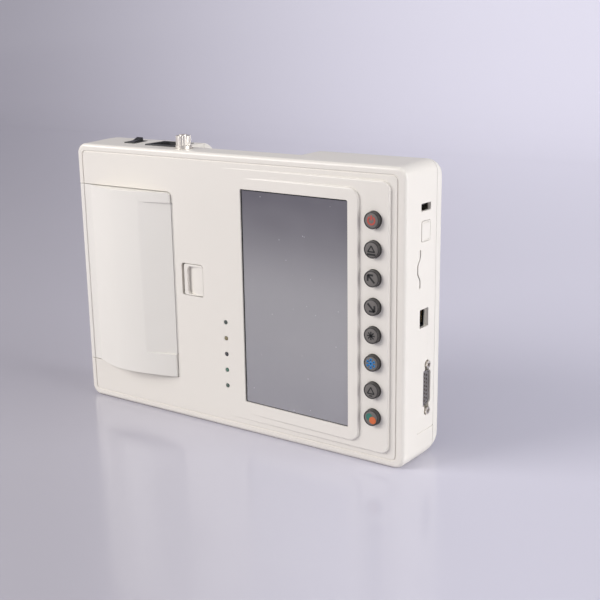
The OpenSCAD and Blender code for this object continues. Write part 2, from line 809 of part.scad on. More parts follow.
module battery_hatch() {
    gap = 0.3;
    color("gainsboro") difference() {
        along_y(case_d - hatch_t, case_d) rounded(battery_x - hatch_margin + gap,
            battery_z - hatch_margin + gap, battery_w + 2 * (hatch_margin - gap),
            battery_h + 2 * (hatch_margin - gap), 4 - gap);
        along_y(case_d - 0.6, case_d + 1)
            rounded_mid(battery_x + battery_w / 2, battery_z + battery_h - 6, 16, 6, 2.8);
    }
}

module battery_pack() {
    color("darkslategray") along_y(rear_in - battery_t, rear_in - 0.5)
        rounded(battery_x, battery_z, battery_w, battery_h, 3);
    color("darkslategray") block(battery_x + 8, battery_x + battery_w - 8, rear_in - 0.5,
                                 case_d - hatch_t, battery_z + 8, battery_z + battery_h - 8);
}

// ---- display ----

module display_glass() {
    color("dimgray") on_display() along_y(glass_deep, glass_back)
        rounded_mid(0, 0, glass_w + 2 * glass_lip, glass_h + 2 * glass_lip, 1);
}

module display_foam() {
    color("black") on_display() along_y(glass_back, lcd_front) difference() {
        rounded_mid(0, 0, glass_w + 2 * glass_lip, glass_h + 2 * glass_lip, 1);
        square([glass_w + glass_lip, glass_h + glass_lip], center = true);
    }
}

module display_panel() {
    color("slategray") on_display() along_y(lcd_front, lcd_back)
        square([lcd_w, lcd_h], center = true);
}

module display_frame() {
    color("silver") on_display() along_y(lcd_back, frame_back) difference() {
        square([lcd_w - 6, 2 * frame_post_z + 8], center = true);
        square([lcd_w - 40, lcd_h - 40], center = true);
        for (x = [-frame_post_x, frame_post_x], z = [-frame_post_z, frame_post_z])
            translate([x, z]) circle(1.2);
    }
}

// ---- keys and lights ----

module key(i) {
    color("dimgray")
    translate([key_x, 0, face_h / 2 + (key_count - 1) / 2 * key_pitch - (i - 1) * key_pitch]) {
        rod_y(0, 0, key_y - key_proud, key_flange_y + 0.5, key_d);
        rod_y(0, 0, key_flange_y, key_flange_y + key_flange_t, key_flange_d);
    }
}

module key_1() key(1);
module key_2() key(2);
module key_3() key(3);
module key_4() key(4);
module key_5() key(5);
module key_6() key(6);
module key_7() key(7);
module key_8() key(8);

module key_board() {
    color("darkgreen") block(key_x - 8.5, key_x + 8.5, key_board_y, key_board_y + board_t,
                             face_h / 2 - key_count / 2 * key_pitch - 3,
                             face_h / 2 + key_count / 2 * key_pitch + 3);
}

module key_switches() {
    rest = key_flange_y + key_flange_t + key_travel + 0.3;
    color("black") key_places() {
        block(-3, 3, key_board_y - key_switch_h, key_board_y, -3, 3);
        rod_y(0, 0, rest, key_board_y - key_switch_h + 0.5, 3.2);
    }
}

module status_lights() {
    color("darkolivegreen") light_places() rod_y(0, 0, -0.1, key_board_y + 1, light_d);
}

module light_board() {
    color("darkgreen") block(light_x - 4.2, light_x + 4.2, key_board_y + 1, key_board_y + 1 + board_t,
                             light_z - 9, light_z + (light_count - 1) * light_pitch + 9);
}

// ---- printer ----

module hood_outline(inset) {
    steps = 26;
    end = door_right;
    span = end - hood_start;
    arch = [for (i = [0:steps]) let (x = hood_start + span * i / steps)
            [min(x, end - inset), hood_y(x) + inset]];
    polygon(concat([[draft + inset, inset]], arch, [[end - inset, door_t + 1], [draft + inset, door_t + 1]]));
}

// the cut that leads the paper out, as a strip in x and y; sink moves it back
module ramp_outline(sink) polygon([[ramp_left, hood_y(ramp_left) + sink], [door_right + 1, ramp_y + sink],
                                   [door_right + 1, -hood_rise - 5], [ramp_left, -hood_rise - 5]]);

module printer_door() {
    edge_y = wall;
    color("whitesmoke") difference() {
        union() {
            difference() {
                union() {
                    along_z(door_low, door_top) intersection() {
                        hood_outline(0);
                        translate([0, -20]) square([door_right, 20 + edge_y]);
                    }
                    // the left side that wraps round to the hinge
                    block(draft, draft + door_t, 0, hinge_y, door_low, door_top);
                }
                along_z(door_low + door_t, door_top - door_t) hood_outline(door_t);
            }
            rod_z(hinge_x, hinge_y, door_low, door_top, 2 * hinge_r);
            // thicker skin behind the paper ramp
            intersection() {
                along_z(ramp_low - 2, ramp_top + 2) difference() {
                    polygon([[ramp_left - 4, hood_y(ramp_left)], [door_right, hood_y(door_right)],
                             [door_right, wall], [ramp_left - 4, hood_y(ramp_left) + 4]]);
                    translate([0, 2]) polygon([[ramp_left - 5, hood_y(ramp_left) - 1.3],
                             [door_right + 1, ramp_y + 0.33], [door_right + 1, 20], [ramp_left - 5, 20]]);
                }
                block(0, door_right, -20, wall, 0, case_h);
            }
            // ears for the platen
            for (z = [ear_low, ear_top]) along_z(z, z + ear_t) {
                polygon([[platen_x - 6, hood_y(platen_x - 6) + 1], [platen_x + 6, hood_y(platen_x + 6) + 1],
                         [platen_x + 6, platen_y], [platen_x - 6, platen_y]]);
                translate([platen_x, platen_y]) circle(6);
            }
            // lugs that the latch hooks hold
            for (z = [hook_low_z, hook_top_z]) along_z(z, z + hook_h) {
                polygon([[lug_x, hood_y(lug_x) + 1], [lug_x + 2.4, hood_y(lug_x + 2.4) + 1],
                         [lug_x + 2.4, hook_y - 0.4], [lug_x, hook_y - 0.4]]);
                translate([lug_x - 1.8, hook_nose_y + 2]) square([2, hook_y - 2.4 - hook_nose_y]);
            }
        }
        rim_groove();
        along_z(ramp_low, ramp_top) ramp_outline(0);
        along_z(door_low - 1, door_top + 1) corner_off(draft, 0, 0, front_r);
        along_y(-hood_rise - 1, wall + 1) corner_off(door_right, door_top, 180, door_corner_r);
        rod_z(hinge_x, hinge_y, door_low - 1, door_top + 1, hinge_pin_d + 2 * fit);
        for (z = [ear_low, ear_top]) rod_z(platen_x, platen_y, z - 1, z + ear_t + 1, bush_d + 0.04);
    }
}

module hinge_pins() {
    color("silver") for (z = [pin_z_low, pin_z_high])
        rod_z(hinge_x, hinge_y, z - hinge_pin_l / 2 + 0.3, z + hinge_pin_l / 2 - 0.3, hinge_pin_d);
}

module platen_roller() {
    color("black") difference() {
        rod_z(platen_x, platen_y, paper_z - 1, paper_z + paper_w + 1, platen_d);
        rod_z(platen_x, platen_y, paper_z - 2, paper_z + paper_w + 2, shaft_d);
    }
}

module platen_shaft() {
    color("silver") rod_z(platen_x, platen_y, gear_z - 0.4, ear_top + ear_t + 0.3, shaft_d);
}

module platen_bushes() {
    color("goldenrod") for (z = [ear_low, ear_top]) difference() {
        rod_z(platen_x, platen_y, z, z + ear_t, bush_d);
        rod_z(platen_x, platen_y, z - 1, z + ear_t + 1, shaft_d + 2 * fit);
    }
}

module platen_gear() {
    toward = atan2(idler_xy[1] - platen_y, idler_xy[0] - platen_x);
    color("ivory") translate([platen_x, platen_y, gear_z])
        gear(platen_teeth, gear_w, shaft_d / 2, toward);
}

module idler_gear() {
    toward = atan2(platen_y - idler_xy[1], platen_x - idler_xy[0]);
    color("ivory") translate([idler_xy[0], idler_xy[1], gear_z])
        gear(idler_teeth, gear_w, idler_pin_d / 2 + fit, toward + 180 / idler_teeth);
}

module idler_pin() {
    color("silver") {
        rod_z(idler_xy[0], idler_xy[1], gear_z - 0.7, ear_low + plate_t, idler_pin_d);
        rod_z(idler_xy[0], idler_xy[1], gear_z - 1.7, gear_z - 0.3, idler_pin_d + 2.4);
    }
}

module motor_pinion() {
    // the idler's tooth nearest to the pinion sets how the pinion is turned
    back = atan2(platen_y - idler_xy[1], platen_x - idler_xy[0]) + 180 / idler_teeth;
    out = atan2(motor_y - idler_xy[1], motor_x - idler_xy[0]);
    phase = (out - back) * idler_teeth / 360;
    lead = (phase - floor(phase)) * 360 / pinion_teeth;
    color("goldenrod") translate([motor_x, motor_y, gear_z])
        gear(pinion_teeth, gear_w, motor_shaft_d / 2, out + 180 + lead + 180 / pinion_teeth);
    color("silver") rod_z(motor_x, motor_y, gear_z - 0.5, ear_low + plate_t + 0.1, motor_shaft_d);
}

module feed_motor() {
    low = ear_low + plate_t;
    color("silver") {
        difference() {
            rod_z(motor_x, motor_y, low, low + motor_l, motor_d);
            rod_z(motor_x, motor_y, low - 1, low + 2, motor_shaft_d + 1);
        }
        block(motor_x - 6, motor_x + 6, motor_y + motor_d / 2 - 2, bay_floor, low + 8, low + motor_l - 6);
    }
}

module drive_plate() {
    color("silver") difference() {
        block(roll_x + 24, bay_right - bay_t, bay_side_y, bay_floor, ear_low, ear_low + plate_t);
        rod_z(idler_xy[0], idler_xy[1], ear_low - 1, ear_low + plate_t + 1, idler_pin_d);
        rod_z(motor_x, motor_y, ear_low - 1, ear_low + plate_t + 1, motor_shaft_d + 1);
    }
}

module paper_bay() {
    z0 = bay_low - bay_t;
    z1 = bay_top + bay_t;
    notch_low = paper_z - 3.6;
    notch_top = paper_z + paper_w + 1.6;
    color("lightgray") difference() {
        union() {
            block(bay_left - bay_t, bay_right, bay_rim_y + 1.4, bay_floor + bay_t, z0, z1);
            block(bay_left - bay_t, door_right + 0.3, bay_rim_y, bay_rim_y + 1.5, z0 - 3, z1 + 3);
        }
        difference() {
            block(bay_left, bay_right - bay_t, bay_rim_y - 1, bay_floor, bay_low, bay_top);
            // cradle ribs under the two spindle journals
            for (z = [notch_low, notch_top]) difference() {
                block(bay_left - 1, roll_x + 6, roll_y - 6, bay_floor + 1, z, z + 2);
                rod_z(roll_x, roll_y, z - 1, z + 3, journal_d + 2 * fit);
                block(roll_x - journal_d / 2 - fit, roll_x + journal_d / 2 + fit, -1, roll_y, z - 1, z + 3);
            }
            // shelf that the print head springs push against
            block(platen_x - 9, bay_right, shelf_y, shelf_y + 1.6, paper_z - 1, paper_z + paper_w + 1);
        }
        // the right side is low, so that the paper, hooks and head clear it
        block(platen_x, door_right + 1, bay_rim_y - 1, bay_side_y, z0 + bay_t, z1 - bay_t);
        // room for the pinned ends of the hooks
        for (z = [hook_low_z, hook_top_z])
            block(platen_x - 4, door_right + 1, bay_rim_y - 1, bay_side_y, z - 0.6, z + hook_h + 0.6);
    }
}

module paper_roll() {
    color("white") difference() {
        rod_z(roll_x, roll_y, paper_z, paper_z + paper_w, roll_d);
        rod_z(roll_x, roll_y, paper_z - 1, paper_z + paper_w + 1, spindle_d);
    }
}

module paper_spindle() {
    color("dimgray") {
        rod_z(roll_x, roll_y, paper_z - 1.3, paper_z + paper_w + 1.3, spindle_d);
        rod_z(roll_x, roll_y, paper_z - 4.4, paper_z + paper_w + 4.4, journal_d);
    }
}

module print_head() {
    color("darkslateblue") block(platen_x - 6, platen_x + 4, head_y, head_y + head_t,
                                 paper_z - 1, paper_z + paper_w + 1);
}

module head_sink() {
    low = paper_z - 1;
    high = paper_z + paper_w + 1;
    color("silver") difference() {
        block(platen_x - 9, bay_right - bay_t - 0.3, head_y + head_t, head_y + head_t + sink_t, low, high);
        for (x = [platen_x - 7, platen_x - 3.4, platen_x + 0.2])
            block(x, x + 1.8, head_y + head_t + 2, head_y + head_t + sink_t + 1, low + 20, high - 20);
    }
}

module head_springs() {
    low = head_y + head_t + sink_t;
    color("silver") for (z = [paper_z + 12, paper_z + paper_w - 12])
        translate([platen_x - 3, shelf_y, z]) rotate([90, 0, 0]) coil_spring(3, 0.7, 3, shelf_y - low);
}

module tear_bar() {
    x0 = slot_right + 0.4;
    x1 = latch_left - 1.6;
    teeth = 54;
    pitch = paper_w / teeth;
    edge = [for (i = [0:teeth - 1], k = [0, 1]) [x0 - 0.7 * k, paper_z + (i + k / 2) * pitch]];
    color("silver") along_y(wall, wall + 0.6)
        polygon(concat(edge, [[x0, paper_z + paper_w], [x1, paper_z + paper_w], [x1, paper_z]]));
}

// ---- latch ----

module latch_button() {
    low = latch_z - button_h / 2;
    color("whitesmoke") difference() {
        union() {
            along_y(-0.2, bar_y - 1) rounded(button_x, low, button_w, button_h, 1.6);
            block(button_x + 0.5, button_x + button_w + 2.4, wall + 0.2, bar_y,
                  low - 3, low + button_h + 3);
        }
        // finger scoop: steep on the left, running out to the right
        along_z(low + 1, low + button_h - 1.6) polygon([[button_x + 3.4, -1], [button_x + 4.6, 3.6],
            [button_x + 7.5, 4], [button_x + 11.5, 2.6],
            [button_x + button_w + 1, 1], [button_x + button_w + 1, -1]]);
    }
}

module latch_bar() {
    right = button_x + button_w - 2.5;
    color("lightgray") {
        block(bar_x, bar_x + bar_w, bar_y, hook_y, hook_low_z, hook_top_z + hook_h);
        block(bar_x, right, bar_y, hook_y, latch_z - 9, latch_z + 9);
        // arm and pad for the return spring
        block(bar_x, spring_pad + 1, bar_y, hook_y, spring_z - 4, spring_z + 4);
        block(spring_pad, spring_pad + 2, bar_y, spring_y + 3, spring_z - 4, spring_z + 4);
        for (z = [hook_low_z, hook_top_z]) along_z(z, z + hook_h) {
            left = bar_x - hook_reach;
            polygon([[bar_x + bar_w, hook_y - 1], [bar_x + bar_w, hook_y + 1.9], [left, hook_y + 1.9],
                     [left, hook_nose_y], [left + 3.2, hook_nose_y], [left + 3.2, hook_nose_y + 1.3],
                     [left + 1.5, hook_nose_y + 1.3], [left + 1.5, hook_y + 0.2],
                     [bar_x + 0.1, hook_y + 0.2], [bar_x + 0.1, hook_y - 1]]);
        }
    }
}

module latch_spring() {
    color("silver") translate([spring_stop + 2.5, spring_y, spring_z]) rotate([0, 90, 0])
        coil_spring(spring_r - latch_wire / 2, latch_wire, 5, spring_l);
}

// ---- boards and sockets ----

module main_board() {
    color("darkgreen") difference() {
        block(main_left, main_right, main_y, main_y + board_t, main_low, main_top);
        for (p = pillar_places) rod_y(p[0], p[1], main_y - 1, main_y + board_t + 1, 3);
    }
    color("black") for (p = main_parts)
        block(main_left + p[0], main_left + p[0] + p[2], main_y + board_t, main_y + board_t + p[4],
              main_low + p[1], main_low + p[1] + p[3]);
}

module board_pillars() {
    color("goldenrod") for (p = pillar_places) {
        rod_y(p[0], p[1], main_y + board_t, rear_in, 2 * pillar_r);
        rod_y(p[0], p[1], main_y + 0.1, main_y + board_t + 0.5, 3);
    }
}

module ecg_board() {
    color("darkgreen") block(ecg_left, ecg_right, ecg_y, ecg_y + board_t, ecg_low, ecg_top);
    color("black") for (z = [ecg_low + ecg_plug_in, ecg_top - ecg_plug_in - ecg_plug_w])
        block(ecg_left + shield_in, ecg_left + shield_in + ecg_plug_w, main_y + board_t, ecg_y,
              z, z + ecg_plug_w);
}

module ecg_shield() {
    low = ecg_y + board_t;
    left = ecg_left + shield_in;
    right = left + shield_w;
    color("silver") difference() {
        block(left, right, low, low + shield_t, ecg_low + shield_low, ecg_top - shield_in);
        block(left + shield_wall, right - shield_wall, low - 1, low + shield_t - shield_wall,
              ecg_low + shield_low + shield_wall, ecg_top - shield_in - shield_wall);
    }
}

module patient_port() {
    face = case_w - 0.6;
    color("silver") translate([0, patient_y, patient_z]) difference() {
        union() {
            along_x(face - 1, face) rounded_mid(0, 0, port_flange_h, port_flange_l, 1);
            along_x(face - port_l, face) rounded_mid(0, 0, port_flange_h, port_flange_l - 12, 1);
        }
        along_x(face - 6, face + 1) difference() {
            d_outline(0);
            d_outline(-0.8);
        }
        for (i = [0:7]) rod_x(-1.42, (i - 3.5) * 2.77, face - 6, face + 1, 1.1);
        for (i = [0:6]) rod_x(1.42, (i - 3) * 2.77, face - 6, face + 1, 1.1);
        for (z = [-port_screw / 2, port_screw / 2]) rod_x(0, z, face - 2, face + 1, 3);
    }
}

module port_standoffs() {
    face = case_w - 0.6;
    color("silver") for (z = [-port_screw / 2, port_screw / 2]) translate([0, patient_y, patient_z + z])
        difference() {
            union() {
                translate([face, 0, 0]) rotate([0, 90, 0]) cylinder(h = 5, d = 5.5, $fn = 6);
                rod_x(0, 0, face - 3, face + 0.5, 2.9);
            }
            rod_x(0, 0, face - 1, face + 6, 2.4);
        }
}

module lan_jack() {
    face = case_w - 0.8;
    mid = card_y + lan_d / 2;
    color("silver") difference() {
        block(face - lan_l, face, card_y, card_y + lan_d, lan_z - lan_h / 2, lan_z + lan_h / 2);
        block(face - 13, face + 1, mid - 4.2, mid + 3.6, lan_z - 5.9, lan_z + 5.9);
        block(face - 13, face + 1, mid + 3.5, mid + 5.2, lan_z - 3, lan_z + 3);
    }
    color("gold") for (i = [0:7]) block(face - 10, face - 2, mid - 4.2, mid - 3.7,
                                        lan_z - 3.75 + i * 1.02, lan_z - 3.35 + i * 1.02);
}

module usb_jack() {
    face = case_w - 0.8;
    color("silver") {
        difference() {
            block(face - usb_l, face, usb_y - usb_w / 2, usb_y + usb_w / 2,
                  usb_z - usb_h / 2, usb_z + usb_h / 2);
            block(face - 14, face + 1, usb_y - 6.5, usb_y + 6.5, usb_z - 2.6, usb_z + 2.6);
        }
        block(face - usb_l + 2, face - 4, main_y + board_t, usb_y - usb_w / 2, usb_z - 3, usb_z + 3);
    }
    color("white") block(face - 15, face - 3, usb_y - 5.6, usb_y + 5.6, usb_z + 0.3, usb_z + 2.1);
}

module card_reader() {
    face = case_w - wall - 1.2;
    color("silver") difference() {
        block(face - 28, face, card_y, card_y + card_t, card_z - card_w / 2 - 0.8, card_z + card_w / 2 + 0.8);
        block(face - 26, face + 1, card_y + 0.3, card_y + card_t - 0.3,
              card_z - card_w / 2 + 0.6, card_z + card_w / 2 - 0.6);
    }
}

module port_cover() {
    color("white") {
        along_x(socket_face - 1.5, case_w - 0.5)
            rounded_mid(blank_y, blank_z, blank_w - 0.3, blank_h - 0.3, 1.3);
        along_x(case_w - wall - 2.6, socket_face - 1)
            rounded_mid(blank_y, blank_z, blank_w - 2.4, blank_h - 2.4, 0.8);
    }
}

// ---- upper edge ----

module mains_inlet() {
    top = case_h + 0.2;
    low = case_h - inlet_deep;
    color("black") difference() {
        union() {
            block(inlet_x - inlet_w / 2, inlet_x + inlet_w / 2, inlet_y - inlet_d / 2,
                  inlet_y + inlet_d / 2, low, top - 0.1);
            block(inlet_x - inlet_w / 2 - 1.3, inlet_x + inlet_w / 2 + 1.3, inlet_y - inlet_d / 2 - 1.3,
                  inlet_y + inlet_d / 2 + 1.3, face_h, top);
        }
        along_z(top - 17, top + 1) polygon([
            [inlet_x - 12.2, inlet_y - 8.4], [inlet_x + 12.2, inlet_y - 8.4], [inlet_x + 12.2, inlet_y + 4],
            [inlet_x + 7.8, inlet_y + 8.4], [inlet_x - 7.8, inlet_y + 8.4], [inlet_x - 12.2, inlet_y + 4]]);
        for (p = [[-7, -1.5], [0, 2.5], [7, -1.5]])
            block(inlet_x + p[0] - 1, inlet_x + p[0] + 1, inlet_y + p[1] - 2, inlet_y + p[1] + 2,
                  low - 1, case_h);
    }
}

module inlet_pins() {
    low = case_h - inlet_deep;
    color("silver") for (p = [[-7, -1.5], [0, 2.5], [7, -1.5]])
        block(inlet_x + p[0] - 1, inlet_x + p[0] + 1, inlet_y + p[1] - 2, inlet_y + p[1] + 2,
              low - 4, case_h - 3);
}

module power_switch() {
    top = face_h + 1.2;
    color("black") difference() {
        union() {
            block(switch_x - switch_w / 2, switch_x + switch_w / 2, switch_y - switch_d / 2,
                  switch_y + switch_d / 2, face_h, top);
            block(switch_x - switch_w / 2 + 1.2, switch_x + switch_w / 2 - 1.2,
                  switch_y - switch_d / 2 + 1.2, switch_y + switch_d / 2 - 1.2,
                  face_h - switch_deep, top - 0.1);
        }
        block(switch_x - 3.1, switch_x + 3.1, switch_y - 6, switch_y + 6, face_h - 8, top + 1);
        rod_x(switch_y, face_h - 1, switch_x - 3.6, switch_x + 3.6, 2 + 2 * fit);
    }
}

module switch_rocker() {
    half = 5.4;
    low = face_h - 1;
    color("black") {
        rod_x(switch_y, low, switch_x - 3.5, switch_x + 3.5, 2);
        along_x(switch_x - 2.9, switch_x + 2.9) translate([switch_y, low]) {
            circle(2);
            polygon([[-half, 0.4], [-half, 2.4], [0, 3], [half - 0.9, 4.9], [half - 0.5, 4.3],
                     [half - 0.3, 2], [1.6, -0.6], [-1.6, -0.6]]);
        }
    }
}

module ground_post() {
    color("silver") {
        rod_z(post_x, post_y, post_base_z, post_base_z + 2.6, 12);
        rod_z(post_x, post_y, post_base_z - 8, post_base_z + 10.4, 6);
        translate([post_x, post_y, post_base_z - 8]) cylinder(h = 2.4, d = 10, $fn = 6);
    }
}

module ground_nut() {
    low = post_base_z + 2.7;
    flutes = 14;
    color("silver") difference() {
        rod_z(post_x, post_y, low, low + 7, 11);
        for (i = [0:flutes - 1]) rotate_about(post_x, post_y, 360 * i / flutes)
            rod_z(5.9, 0, low - 1, low + 9, 1.5);
        rod_z(post_x, post_y, low - 1, low + 9, 6 + 2 * fit);
    }
}

module rotate_about(x, y, a) translate([x, y, 0]) rotate(a) children();

module power_supply() {
    color("lightgray") difference() {
        block(supply_x, supply_x + supply_w, supply_y, rear_in, supply_z, supply_z + supply_h);
        block(supply_x + 1, supply_x + supply_w - 1, supply_y + 1, rear_in - 2,
              supply_z + 1, supply_z + supply_h - 1);
        for (i = [0:6]) block(supply_x + 8 + i * 7, supply_x + 11 + i * 7, supply_y - 1, supply_y + 2,
                              supply_z + 12, supply_z + supply_h - 12);
    }
}

placed() front_case();
placed() rear_case();
placed() case_screws();
placed() feet();
placed() battery_hatch();
placed() battery_pack();
placed() display_glass();
placed() display_foam();
placed() display_panel();
placed() display_frame();
placed() key_1();
placed() key_2();
placed() key_3();
placed() key_4();
placed() key_5();
placed() key_6();
placed() key_7();
placed() key_8();
placed() key_board();
placed() key_switches();
placed() status_lights();
placed() light_board();
placed() printer_door();
placed() hinge_pins();
placed() platen_roller();
placed() platen_shaft();
placed() platen_bushes();
placed() platen_gear();
placed() idler_gear();
placed() idler_pin();
placed() motor_pinion();
placed() feed_motor();
placed() drive_plate();
placed() paper_bay();
placed() paper_roll();
placed() paper_spindle();
placed() print_head();
placed() head_sink();
placed() head_springs();
placed() tear_bar();
placed() latch_button();
placed() latch_bar();
placed() latch_spring();
placed() main_board();
placed() board_pillars();
placed() ecg_board();
placed() ecg_shield();
placed() patient_port();
placed() port_standoffs();
placed() lan_jack();
placed() usb_jack();
placed() card_reader();
placed() port_cover();
placed() mains_inlet();
placed() inlet_pins();
placed() power_switch();
placed() switch_rocker();
placed() ground_post();
placed() ground_nut();
placed() power_supply();
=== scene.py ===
"""Portable ECG recorder: the shells, door, keys, glass and sockets that are seen, round the frame.

Sizes are in millimetres, counted as in the source of the part: x from the left edge of the
case, y from the front face backwards and z from the lower edge. spot() turns them into metres.
"""

import math
from contextlib import contextmanager

import bmesh
import bpy
from mathutils import Matrix, Vector


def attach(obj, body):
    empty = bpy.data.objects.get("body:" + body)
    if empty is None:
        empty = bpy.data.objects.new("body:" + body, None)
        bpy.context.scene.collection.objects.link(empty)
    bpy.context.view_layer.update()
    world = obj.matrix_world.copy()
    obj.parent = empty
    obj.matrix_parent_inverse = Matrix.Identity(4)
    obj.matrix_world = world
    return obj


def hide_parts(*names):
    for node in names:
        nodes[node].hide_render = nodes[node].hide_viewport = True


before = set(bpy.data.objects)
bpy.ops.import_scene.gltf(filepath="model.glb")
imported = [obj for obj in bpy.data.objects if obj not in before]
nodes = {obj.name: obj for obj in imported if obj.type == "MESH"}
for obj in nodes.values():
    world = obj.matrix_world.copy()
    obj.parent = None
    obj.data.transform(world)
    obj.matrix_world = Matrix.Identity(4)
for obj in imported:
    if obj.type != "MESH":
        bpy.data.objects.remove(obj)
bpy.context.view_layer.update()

MM = 0.001

# the case
CASE_W, CASE_H, CASE_D = 295, 207, 52
DRAFT, NOSE, FLARE, SEAM, SEAM_GAP = 1, 4, 30, 39.5, 0.3
WALL, CORNER_R, FRONT_R = 2.5, 8, 2.5
SIDE_BACK_R, TOP_BACK_R, BASE_BACK_R = 8, 14, 17
FACE_H = CASE_H - DRAFT
# the raised areas of the front
PANEL_LEFT, PANEL_RIGHT, PANEL_IN, PANEL_RISE, PANEL_R = 134, CASE_W - 12.5, 9.5, 2.1, 6
GROOVE_IN, GROOVE_W, GROOVE_R = 6, 1, 4
SURROUND_W, SURROUND_H, SURROUND_RISE, SURROUND_R = 100, 176.5, 1.8, 8
# the display
GLASS_W, GLASS_H, GLASS_DEEP, GLASS_T, GLASS_LIP = 91, 158.4, 1.2, 1.8, 3
GLASS_X, GLASS_Z = CASE_W - 89, FACE_H / 2
# keys and lights
KEY_X, KEY_PITCH, KEY_D, KEY_PROUD, KEY_GAP = CASE_W - 24, 19.4, 11.4, 3.2, 0.25
STROKE_Y, STROKE_T = -0.12, 0.3
LIGHT_X, LIGHT_Z, LIGHT_PITCH, LIGHT_D = 144, 33.2, 12.25, 3.2
# the printer door
DOOR_RIGHT, DOOR_LOW, DOOR_TOP, DOOR_T, DOOR_GAP = 95.5, 31.5, 174.5, 2.2, 0.45
HOOD_START, HOOD_PEAK, HOOD_RISE, HOOD_FALL = 13, 48.6, 10, 52
HINGE_X, HINGE_Y, HINGE_R = 4.4, 10, 3.4
RAMP_LEFT, RAMP_LOW, RAMP_TOP, RAMP_Y = 71, 49.25, 166.75, 0.4
PLATEN_X, PLATEN_Y, EAR_LOW, EAR_TOP, EAR_T = 85, 6.5, 47.4, 164.7, 2
HOOK_LOW, HOOK_TOP, HOOK_H = 35.1, 167.9, 3.2
# the latch
LATCH_LEFT, LATCH_W, LATCH_H, LATCH_Z = 103.4, 20.4, 24.5, 110.3
BUTTON_X, BUTTON_W, BUTTON_H = 105.8, 17.8, 23.7
# the sockets in the right side: middle along y and z, and the size of the mouth
USB_Y, USB_Z, USB_W, USB_H = 25, 177.5, 12.4, 5
BLANK_Y, BLANK_Z, BLANK_W, BLANK_H = 25, 161.4, 11.6, 14
CARD_Y, CARD_Z, CARD_W = 17.6, 136.6, 26
# how far the card slot bows to the front, and half the height of the bow
CARD_BOW, CARD_BOW_H = 3.2, 8.5
LAN_Y, LAN_Z, LAN_W, LAN_H = 24.3, 102, 11, 12.8
PORT_Y, PORT_Z, PORT_SCREW, PORT_LONG, PORT_TALL = 29.6, 51.2, 33.3, 24.99, 8.36
PIN_PITCH, PIN_ROW = 2.77, 1.42
# the upper edge: left, right, front and back of each opening, and of the sunk rim round it
INLET_HOLE, INLET_RIM = (62.3, 89.7, 13.8, 34.2), (61.0, 91.0, 12.5, 35.5)
SWITCH_HOLE, SWITCH_RIM = (38.25, 46.75, 16.5, 29.5), (36.95, 48.05, 15.2, 30.8)
POST_X, POST_Y, POST_SINK_R = 101, 11, 7
GRIP_LEFT, GRIP_RIGHT, GRIP_DEEP = 97, 203, 18
# the rear and the inside
HATCH_LEFT, HATCH_RIGHT, HATCH_LOW, HATCH_TOP = 110, 202, 19, 93
BOSS_END, LUG_LOW, LUG_TOP = 42, 18.55, 187.45
PANEL_HALF_W, PANEL_HALF_H, PANEL_DEEP = 52.2, 82.7, 3.95
ROLL_X, ROLL_Y = 38, 20


def panel_rise(x):
    return PANEL_RISE * (x - PANEL_LEFT) / (PANEL_RIGHT - PANEL_LEFT)


SURROUND_LEFT = GLASS_X + 4 - SURROUND_W / 2
SURROUND_RIGHT = SURROUND_LEFT + SURROUND_W
SURROUND_Z = GLASS_Z - 0.5
SURROUND_LEFT_RISE = panel_rise(SURROUND_LEFT)
SURROUND_RIGHT_RISE = panel_rise(SURROUND_RIGHT) + SURROUND_RISE
SURROUND_TILT = math.atan((SURROUND_RIGHT_RISE - SURROUND_LEFT_RISE) / SURROUND_W)


def hood(x):
    if x < HOOD_START:
        return 0
    if x < HOOD_PEAK:
        return -HOOD_RISE * math.sin(math.pi / 2 * (x - HOOD_START) / (HOOD_PEAK - HOOD_START))
    return -HOOD_RISE * math.cos(math.pi / 2 * (x - HOOD_PEAK) / HOOD_FALL)


def spot(x, y, z):
    return Vector((x - CASE_W / 2, y - CASE_D / 2, z)) * MM


# ---- modelling helpers ----


def clear_selection():
    bpy.ops.object.select_all(action="DESELECT")


def make_active(piece):
    clear_selection()
    piece.select_set(True)
    bpy.context.view_layer.objects.active = piece


def settle(piece):
    """Moves the object's place, turn and scale into its mesh."""
    make_active(piece)
    bpy.ops.object.transform_apply(location=True, rotation=True, scale=True)


@contextmanager
def editing(piece):
    make_active(piece)
    bpy.ops.object.mode_set(mode="EDIT")
    yield piece
    bpy.ops.object.mode_set(mode="OBJECT")


def pick(piece, kind, test):
    """Selects the vertices, edges or faces that pass the test, and nothing else."""
    bpy.ops.mesh.select_mode(type=kind)
    bpy.ops.mesh.select_all(action="DESELECT")
    mesh = bmesh.from_edit_mesh(piece.data)
    mesh.normal_update()
    for item in {"VERT": mesh.verts, "EDGE": mesh.edges, "FACE": mesh.faces}[kind]:
        if test(item):
            item.select_set(True)
    mesh.select_flush_mode()
    bmesh.update_edit_mesh(piece.data)


def along(edge, axis):
    line = (edge.verts[1].co - edge.verts[0].co).normalized()
    return abs(line["xyz".index(axis)]) > 0.999


def block(name, x0, x1, y0, y1, z0, z1):
    clear_selection()
    middle = spot((x0 + x1) / 2, (y0 + y1) / 2, (z0 + z1) / 2)
    bpy.ops.mesh.primitive_cube_add(size=1, location=middle)
    piece = bpy.context.object
    piece.name = piece.data.name = name
    piece.scale = ((x1 - x0) * MM, (y1 - y0) * MM, (z1 - z0) * MM)
    settle(piece)
    return piece


def rounded_block(name, x0, x1, y0, y1, z0, z1, radius, axis="y", steps=6):
    piece = block(name, x0, x1, y0, y1, z0, z1)
    with editing(piece):
        pick(piece, "EDGE", lambda e: along(e, axis))
        bpy.ops.mesh.bevel(offset=radius * MM, segments=steps, affect="EDGES")
    return piece


